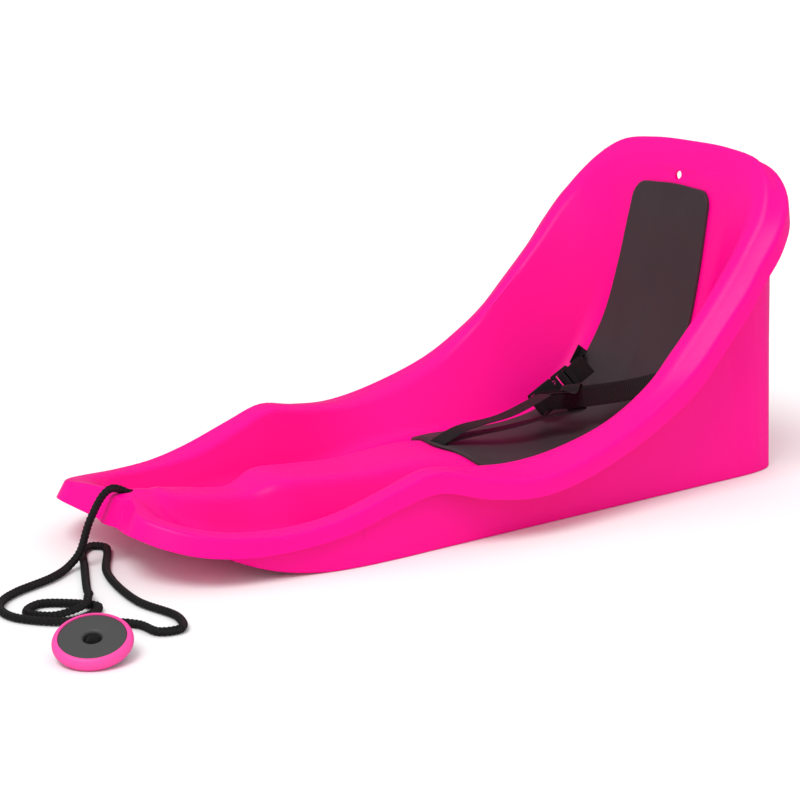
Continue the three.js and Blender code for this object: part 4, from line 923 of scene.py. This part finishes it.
def braid_material(colour, pitch):
    """Braided rope: fine slanted yarns that glint on the plaits which the mesh forms, with painted shade
    between the yarns.
    """
    material, tree = new_material("Rope braid", "braided polypropylene cord, its yarns slanted both ways")
    uv = add_node(tree, "ShaderNodeUVMap", (-1200, 0), uv_map="Along")
    parts = add_node(tree, "ShaderNodeSeparateXYZ", (-1000, 0), [("Vector", uv.outputs["UV"])])
    slant = add_node(tree, "ShaderNodeMath", (-800, 0), [
        (0, parts.outputs["X"]), (1, parts.outputs["Y"])], operation="ADD")
    yarns = wave_of(tree, slant.outputs[0], pitch / 5, 0, (-400, 0))
    level = add_node(tree, "ShaderNodeMapRange", (-200, 0), [
        ("Value", yarns), ("From Min", -1.0), ("From Max", 1.0)])
    # Painted shade: the colour darkens by up to half between the yarns, where the relief is low.
    base = darkened_where_low(tree, colour, level.outputs["Result"], 0.5, (-100, 200))
    close_material(tree, base, 0.6, FIBRE_IOR, [("Sheen Weight", 0.03)],
                   relief=(level.outputs["Result"], 0.6, 0.0005))
    return material


def looks():
    """The sizes and colours of the finishes that a user may change."""
    return bpy.context.scene.sled_looks


def material_for(slot_name):
    """The finish of one of the record's material slots, made once."""
    known = bpy.data.materials.get("sled_" + slot_name)
    if known:
        return known
    p = looks()
    if slot_name == "shell_plastic":
        made = moulded_material("shell", "moulded polyethylene, satin with a fine grain",
                                linear(p.shell_colour), p.grain, roughness=0.36, relief=0.22,
                                mottle=0.015, shine=0.14)
    elif slot_name == "pad_foam":
        made = foam_material(linear(p.pad_colour))
    elif slot_name == "webbing":
        made = webbing_material(linear(p.webbing_colour), p.weave)
    elif slot_name == "buckle_plastic":
        made = moulded_material("buckle", "moulded acetal, satin black", linear(p.buckle_colour),
                                grain=0.0006, roughness=0.34, relief=0.1)
    elif slot_name == "rope_braid":
        made = braid_material(linear(p.rope_colour), p.braid)
    elif slot_name == "handle_rim":
        made = moulded_material("rim", "soft moulded thermoplastic rubber", linear(p.rim_colour),
                                grain=0.0008, roughness=0.42, relief=0.15, mottle=0.03, shine=0.3)
    else:
        made = moulded_material("face", "moulded polypropylene with a spark-eroded grain",
                                linear(p.face_colour), grain=0.0007, roughness=0.5, relief=0.6)
    made.name = "sled_" + slot_name
    return made


def dress(obj, slot_name, body="root", nodes=()):
    """Rides a piece on its body, gives it its slot and lets it stand for its CAD nodes."""
    obj.data.materials.clear()
    obj.data.materials.append(material_for(slot_name))
    if body:
        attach(obj, body)
    if nodes:
        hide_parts(*nodes)
    return obj


# Pieces

def make_skin():
    """The thin skin of the shell, closed round the loop from the nose to the back and on."""
    rings = shell_rings()
    rows, around = rings.shape[:2]
    bm = bmesh.new()
    bmesh.ops.create_grid(bm, x_segments=rows, y_segments=around - 1, size=0.5)
    for vert in bm.verts:
        i = round((vert.co.x + 0.5) * rows) % rows
        j = round((vert.co.y + 0.5) * (around - 1))
        vert.co = Vector(rings[i][j]) * MM
    return finish_mesh("sled_shell", bm)


def make_shell():
    """The skin joined with the hull wall, then cut for the straps, the rope and the hang hole."""
    shell = make_skin()
    tilt = math.radians(90 - ROPE_HOLE_TILT)
    rope_way = (0, -math.sin(tilt), math.cos(tilt))
    hang = surface_frame(HANG_STATION, 0)
    cutters = [
        *strap_cutters(),
        round_cutter(np.array(ROPE_HOLE), rope_way, ROPE_HOLE_DIAMETER),
        round_cutter(hang[0], hang[3], HANG_HOLE_DIAMETER),
    ]
    carve(shell, [loft("hull", hull_rings())], "UNION")
    carve(shell, cutters)
    return dress(shell, "shell_plastic", nodes=["shell"])


def make_pad():
    """The foam mat, cut for the three straps."""
    pad = loft("sled_seat_pad", pad_rings(), sharp=PAD_CREASE)
    carve(pad, strap_cutters())
    dress(pad, "pad_foam", nodes=["seat_pad"])


def make_straps():
    """The three straps; the right one runs from its slot to the plug and over its ladder bars."""
    right = ribbon("sled_lap_strap_right", *refine(*right_lap_course()))
    dress(right, "webbing", body=None, nodes=["lap_strap_right"])
    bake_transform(right)
    line, widths, _ = left_lap_course()
    left = ribbon("sled_lap_strap_left", *refine(line, widths))
    dress(left, "webbing", nodes=["lap_strap_left"])
    crotch = ribbon("sled_crotch_strap", *refine(*crotch_course()))
    dress(crotch, "webbing", nodes=["crotch_strap"])


def finish_cad_pieces():
    """Finish of the hard harness pieces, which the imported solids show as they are."""
    for name in ("buckle_socket", "buckle_plug", "plug_arm_left", "plug_arm_right",
                 "strap_anchor_right", "strap_anchor_left", "strap_anchor_crotch"):
        node = bpy.data.objects[name]
        node.data.materials.clear()
        node.data.materials.append(material_for("buckle_plastic"))


def rope_rings(line):
    """Sections of the rope along its line, raised where the plaits of the braid cross over."""
    tangents = np.gradient(line, axis=0)
    tangents /= np.linalg.norm(tangents, axis=1, keepdims=True)
    side = unit(np.cross(tangents[0], [1.0, 0.2, 0.1]))
    rings = []
    run = 0.0
    pitch = looks().braid / MM
    for i, (p, t) in enumerate(zip(line, tangents)):
        side = unit(side - t * np.dot(side, t))
        other = np.cross(t, side)
        run += np.linalg.norm(line[i] - line[i - 1]) if i else 0
        ring = []
        for k in range(ROPE_SIDES):
            angle = 2 * math.pi * k / ROPE_SIDES
            turn = math.pi * run / pitch
            plait = math.cos(turn + 2 * angle) * math.cos(turn - 2 * angle)
            relief = BRAID_RELIEF * math.copysign(abs(plait) ** BRAID_POWER, plait)
            reach = ROPE_DIAMETER / 2 * (BRAID_CORE + relief)
            ring.append(p + reach * (side * math.cos(angle) + other * math.sin(angle)))
        rings.append(ring)
    return rings


def make_knot(name, centre, diameter):
    """Overhand knot drawn tight, as a ball of three wraps with braid relief."""
    rings = []
    for j in range(KNOT_ROWS + 1):
        up = math.pi * j / KNOT_ROWS
        span = max(math.sin(up), KNOT_POLE)
        ring = []
        for k in range(KNOT_FACETS):
            angle = 2 * math.pi * k / KNOT_FACETS
            wrap = abs(math.cos(KNOT_WRAPS * (up * KNOT_TWIST + angle)))
            rise, turn = KNOT_BRAID_UP * up, KNOT_BRAID_ROUND * angle
            braid = math.cos(rise + turn) * math.cos(rise - turn)
            swell = KNOT_CORE + KNOT_RELIEF * math.sqrt(wrap) + KNOT_BRAID_RELIEF * braid
            way = np.array([span * math.cos(angle), span * math.sin(angle), math.cos(up)])
            ring.append(np.array(centre) + diameter / 2 * swell * way)
        rings.append(ring)
    return loft(name, rings, sharp=ROPE_CREASE)


HANDLE_FRAME = (
    Matrix.Translation(Vector(HANDLE_AT) * MM)
    @ Matrix.Rotation(math.radians(HANDLE_TURN), 4, "Z")
    @ Matrix.Rotation(math.radians(HANDLE_TILT), 4, "X")
)


def turned_piece(name, profile):
    """Ring turned about the handle's axis from a profile of radius and height."""
    rings = []
    for k in range(HANDLE_FACETS):
        angle = 2 * math.pi * k / HANDLE_FACETS
        rings.append([(r * math.cos(angle), r * math.sin(angle), h) for r, h in profile])
    obj = loft(name, rings, closed=True)
    obj.data.transform(HANDLE_FRAME)
    return obj


def rounded(corners, radius):
    """Closed outline with each corner rounded; a corner's own radius may follow its place."""
    outline = []
    places = [np.array(c[:2], float) for c in corners]
    for i, place in enumerate(places):
        reach = corners[i][2] if len(corners[i]) > 2 else radius
        before = unit(places[i - 1] - place) * reach
        after = unit(places[(i + 1) % len(places)] - place) * reach
        for k in range(CORNER_STEPS + 1):
            t = k / CORNER_STEPS
            outline.append(place + (1 - t) ** 2 * before + t ** 2 * after)
    return outline


def make_handle():
    """The soft rim, the disc that it holds and the knot in the disc's hole."""
    outer, half = HANDLE_DIAMETER / 2, HANDLE_THICKNESS / 2
    inner = FACE_DIAMETER / 2 + SEAT_GAP
    ring = [(inner, 0), (inner, RIM_BEVEL - half), (inner + RIM_BEVEL, -half)]
    for k in range(RIM_STEPS + 1):
        angle = -math.pi / 2 + math.pi * k / RIM_STEPS
        ring.append((outer - HANDLE_ROUND * (1 - math.cos(angle)), half * math.sin(angle)))
    ring += [(inner + RIM_BEVEL, half), (inner, half - RIM_BEVEL)]
    rim = dress(turned_piece("sled_handle_ring", ring), "handle_rim", nodes=["handle_ring"])
    edge, side, hole = FACE_DIAMETER / 2, FACE_THICKNESS / 2, FACE_HOLE / 2
    lip = (hole + FACE_LIP_WIDTH, side, FACE_LIP_ROUND)
    corners = [(hole, -side), (edge, -side), (edge, side), lip, (hole, side - FACE_LIP_DEPTH)]
    disc = turned_piece("sled_handle_face", rounded(corners, FACE_EDGE))
    face = dress(disc, "handle_core", nodes=["handle_face"])
    middle = HANDLE_FRAME @ Vector((0, 0, KNOT_SINK * MM))
    knot = make_knot("sled_handle_knot", [c / MM for c in middle], HANDLE_KNOT)
    dress(knot, "rope_braid", nodes=["handle_knot"])
    return [rim, face, knot]


def make_rope():
    """The pull rope from the nose to its handle, with its stopper knot behind the nose."""
    line = even_line(ROPE_ROUTE, ROPE_STEPS)
    girth = math.pi * ROPE_DIAMETER * MM
    rope = loft("sled_pull_rope", rope_rings(line), uv_width=girth, sharp=ROPE_CREASE)
    dress(rope, "rope_braid", nodes=["pull_rope"])
    inward = unit(line[0] - line[ROPE_PROBE])
    stopper = make_knot("sled_rope_stopper", line[0] + inward * (KNOT / 2 + SEAT_GAP), KNOT)
    dress(stopper, "rope_braid", nodes=["rope_stopper_knot"])
    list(make_handle())


def aim(obj, turn, lift):
    """Turns a camera or lamp to look at the sled from a bearing and a height, in degrees."""
    a, e = math.radians(turn), math.radians(lift)
    back = Vector((math.sin(a) * math.cos(e), -math.cos(a) * math.cos(e), math.sin(e)))
    obj.rotation_mode = "QUATERNION"
    obj.rotation_quaternion = (-back).to_track_quat("-Z", "Y")


def place_camera():
    """Camera at the photograph's view, found by fitting the sled's outline."""
    camera = bpy.data.objects.new("Camera", bpy.data.cameras.new("Camera"))
    bpy.context.scene.collection.objects.link(camera)
    camera.data.lens = CAMERA_LENS
    camera.data.sensor_width = CAMERA_SENSOR
    aim(camera, CAMERA_TURN, CAMERA_LIFT)
    camera.location = CAMERA_AT
    bpy.context.scene.camera = camera


def make_floor():
    """White floor that throws no glare back at the shell."""
    bm = bmesh.new()
    bmesh.ops.create_grid(bm, x_segments=2, y_segments=2, size=FLOOR_HALF)
    floor = finish_mesh("floor", bm)
    floor.location.z = FLOOR_Z
    material, tree = new_material("Floor", "matt white paper sweep")
    path = add_node(tree, "ShaderNodeLightPath", (-600, 0))
    light = list(looks().floor_colour) + [1.0]
    dim = [FLOOR_GLOSS] * 3 + [1.0]
    shade = add_node(tree, "ShaderNodeMix", (-300, 0), [
        ("Factor", path.outputs["Is Glossy Ray"]), (6, light), (7, dim)], data_type="RGBA")
    close_material(tree, shade.outputs[2], 0.9, PAPER_IOR, [("Specular IOR Level", 0.1)])
    floor.data.materials.append(material)


def light_world():
    """Even white surroundings, dim to glossy rays so that the shell keeps its colour."""
    world = bpy.data.worlds.new("World")
    bpy.context.scene.world = world
    world.use_nodes = True
    tree = world.node_tree
    tree.nodes.clear()
    path = add_node(tree, "ShaderNodeLightPath", (-600, 0))
    strength = add_node(tree, "ShaderNodeMapRange", (-300, 0), [
        ("Value", path.outputs["Is Glossy Ray"]), ("To Min", WORLD_LIGHT), ("To Max", WORLD_SHINE)])
    sky = add_node(tree, "ShaderNodeBackground", (0, 0), [
        ("Color", (1, 1, 1, 1)), ("Strength", strength.outputs["Result"])])
    out = add_node(tree, "ShaderNodeOutputWorld", (300, 0))
    tree.links.new(sky.outputs[0], out.inputs[0])


def add_sun():
    """One broad, soft lamp from the front and above."""
    lamp = bpy.data.lights.new("Key", "SUN")
    lamp.energy = SUN_STRENGTH
    lamp.angle = math.radians(SUN_SPREAD)
    sun = bpy.data.objects.new("Key", lamp)
    bpy.context.scene.collection.objects.link(sun)
    aim(sun, SUN_TURN, SUN_LIFT)


class SLED_OT_rope(bpy.types.Operator):
    """Places the camera, then the pull rope with its knots and its round handle"""
    bl_idname = "sled.rope"
    bl_label = "Pull rope"
    bl_options = {"REGISTER", "UNDO"}

    def execute(self, context):
        place_camera()
        make_rope()
        return {"FINISHED"}


class SLED_OT_shell(bpy.types.Operator):
    """Builds the moulded shell with its rim, foot wells and hull wall"""
    bl_idname = "sled.shell"
    bl_label = "Shell"
    bl_options = {"REGISTER", "UNDO"}

    def execute(self, context):
        make_shell()
        return {"FINISHED"}


class SLED_OT_pad(bpy.types.Operator):
    """Builds the foam mat of the seat and backrest"""
    bl_idname = "sled.pad"
    bl_label = "Seat pad"
    bl_options = {"REGISTER", "UNDO"}

    def execute(self, context):
        make_pad()
        return {"FINISHED"}


class SLED_OT_harness(bpy.types.Operator):
    """Builds the webbing straps and finishes the side-release buckle and the anchor bars"""
    bl_idname = "sled.harness"
    bl_label = "Harness"
    bl_options = {"REGISTER", "UNDO"}

    def execute(self, context):
        make_straps()
        finish_cad_pieces()
        return {"FINISHED"}


class SLED_OT_stage(bpy.types.Operator):
    """Sets the floor, the world and the lights"""
    bl_idname = "sled.stage"
    bl_label = "Stage"
    bl_options = {"REGISTER", "UNDO"}

    def execute(self, context):
        make_floor()
        light_world()
        add_sun()
        return {"FINISHED"}


class SLED_PT_panel(bpy.types.Panel):
    """Sidebar panel with the finishes and the steps that build the sled"""
    bl_idname = "SLED_PT_panel"
    bl_label = "Baby Pull Sled"
    bl_space_type = "VIEW_3D"
    bl_region_type = "UI"
    bl_category = "Sled"

    def draw(self, context):
        for name in SledLooks.__annotations__:
            self.layout.prop(context.scene.sled_looks, name)
        for operator in OPERATORS:
            self.layout.operator(operator.bl_idname)


OPERATORS = (SLED_OT_rope, SLED_OT_shell, SLED_OT_pad, SLED_OT_harness, SLED_OT_stage)
CLASSES = (SledLooks, *OPERATORS, SLED_PT_panel)


def register():
    for cls in CLASSES:
        bpy.utils.register_class(cls)
    bpy.types.Scene.sled_looks = PointerProperty(type=SledLooks)


def unregister():
    del bpy.types.Scene.sled_looks
    for cls in reversed(CLASSES):
        bpy.utils.unregister_class(cls)


def main():
    register()
    bpy.ops.sled.rope()
    bpy.ops.sled.shell()
    bpy.ops.sled.pad()
    bpy.ops.sled.harness()
    bpy.ops.sled.stage()
    bpy.context.scene.view_settings.view_transform = "Standard"


if __name__ == "__main__":
    main()
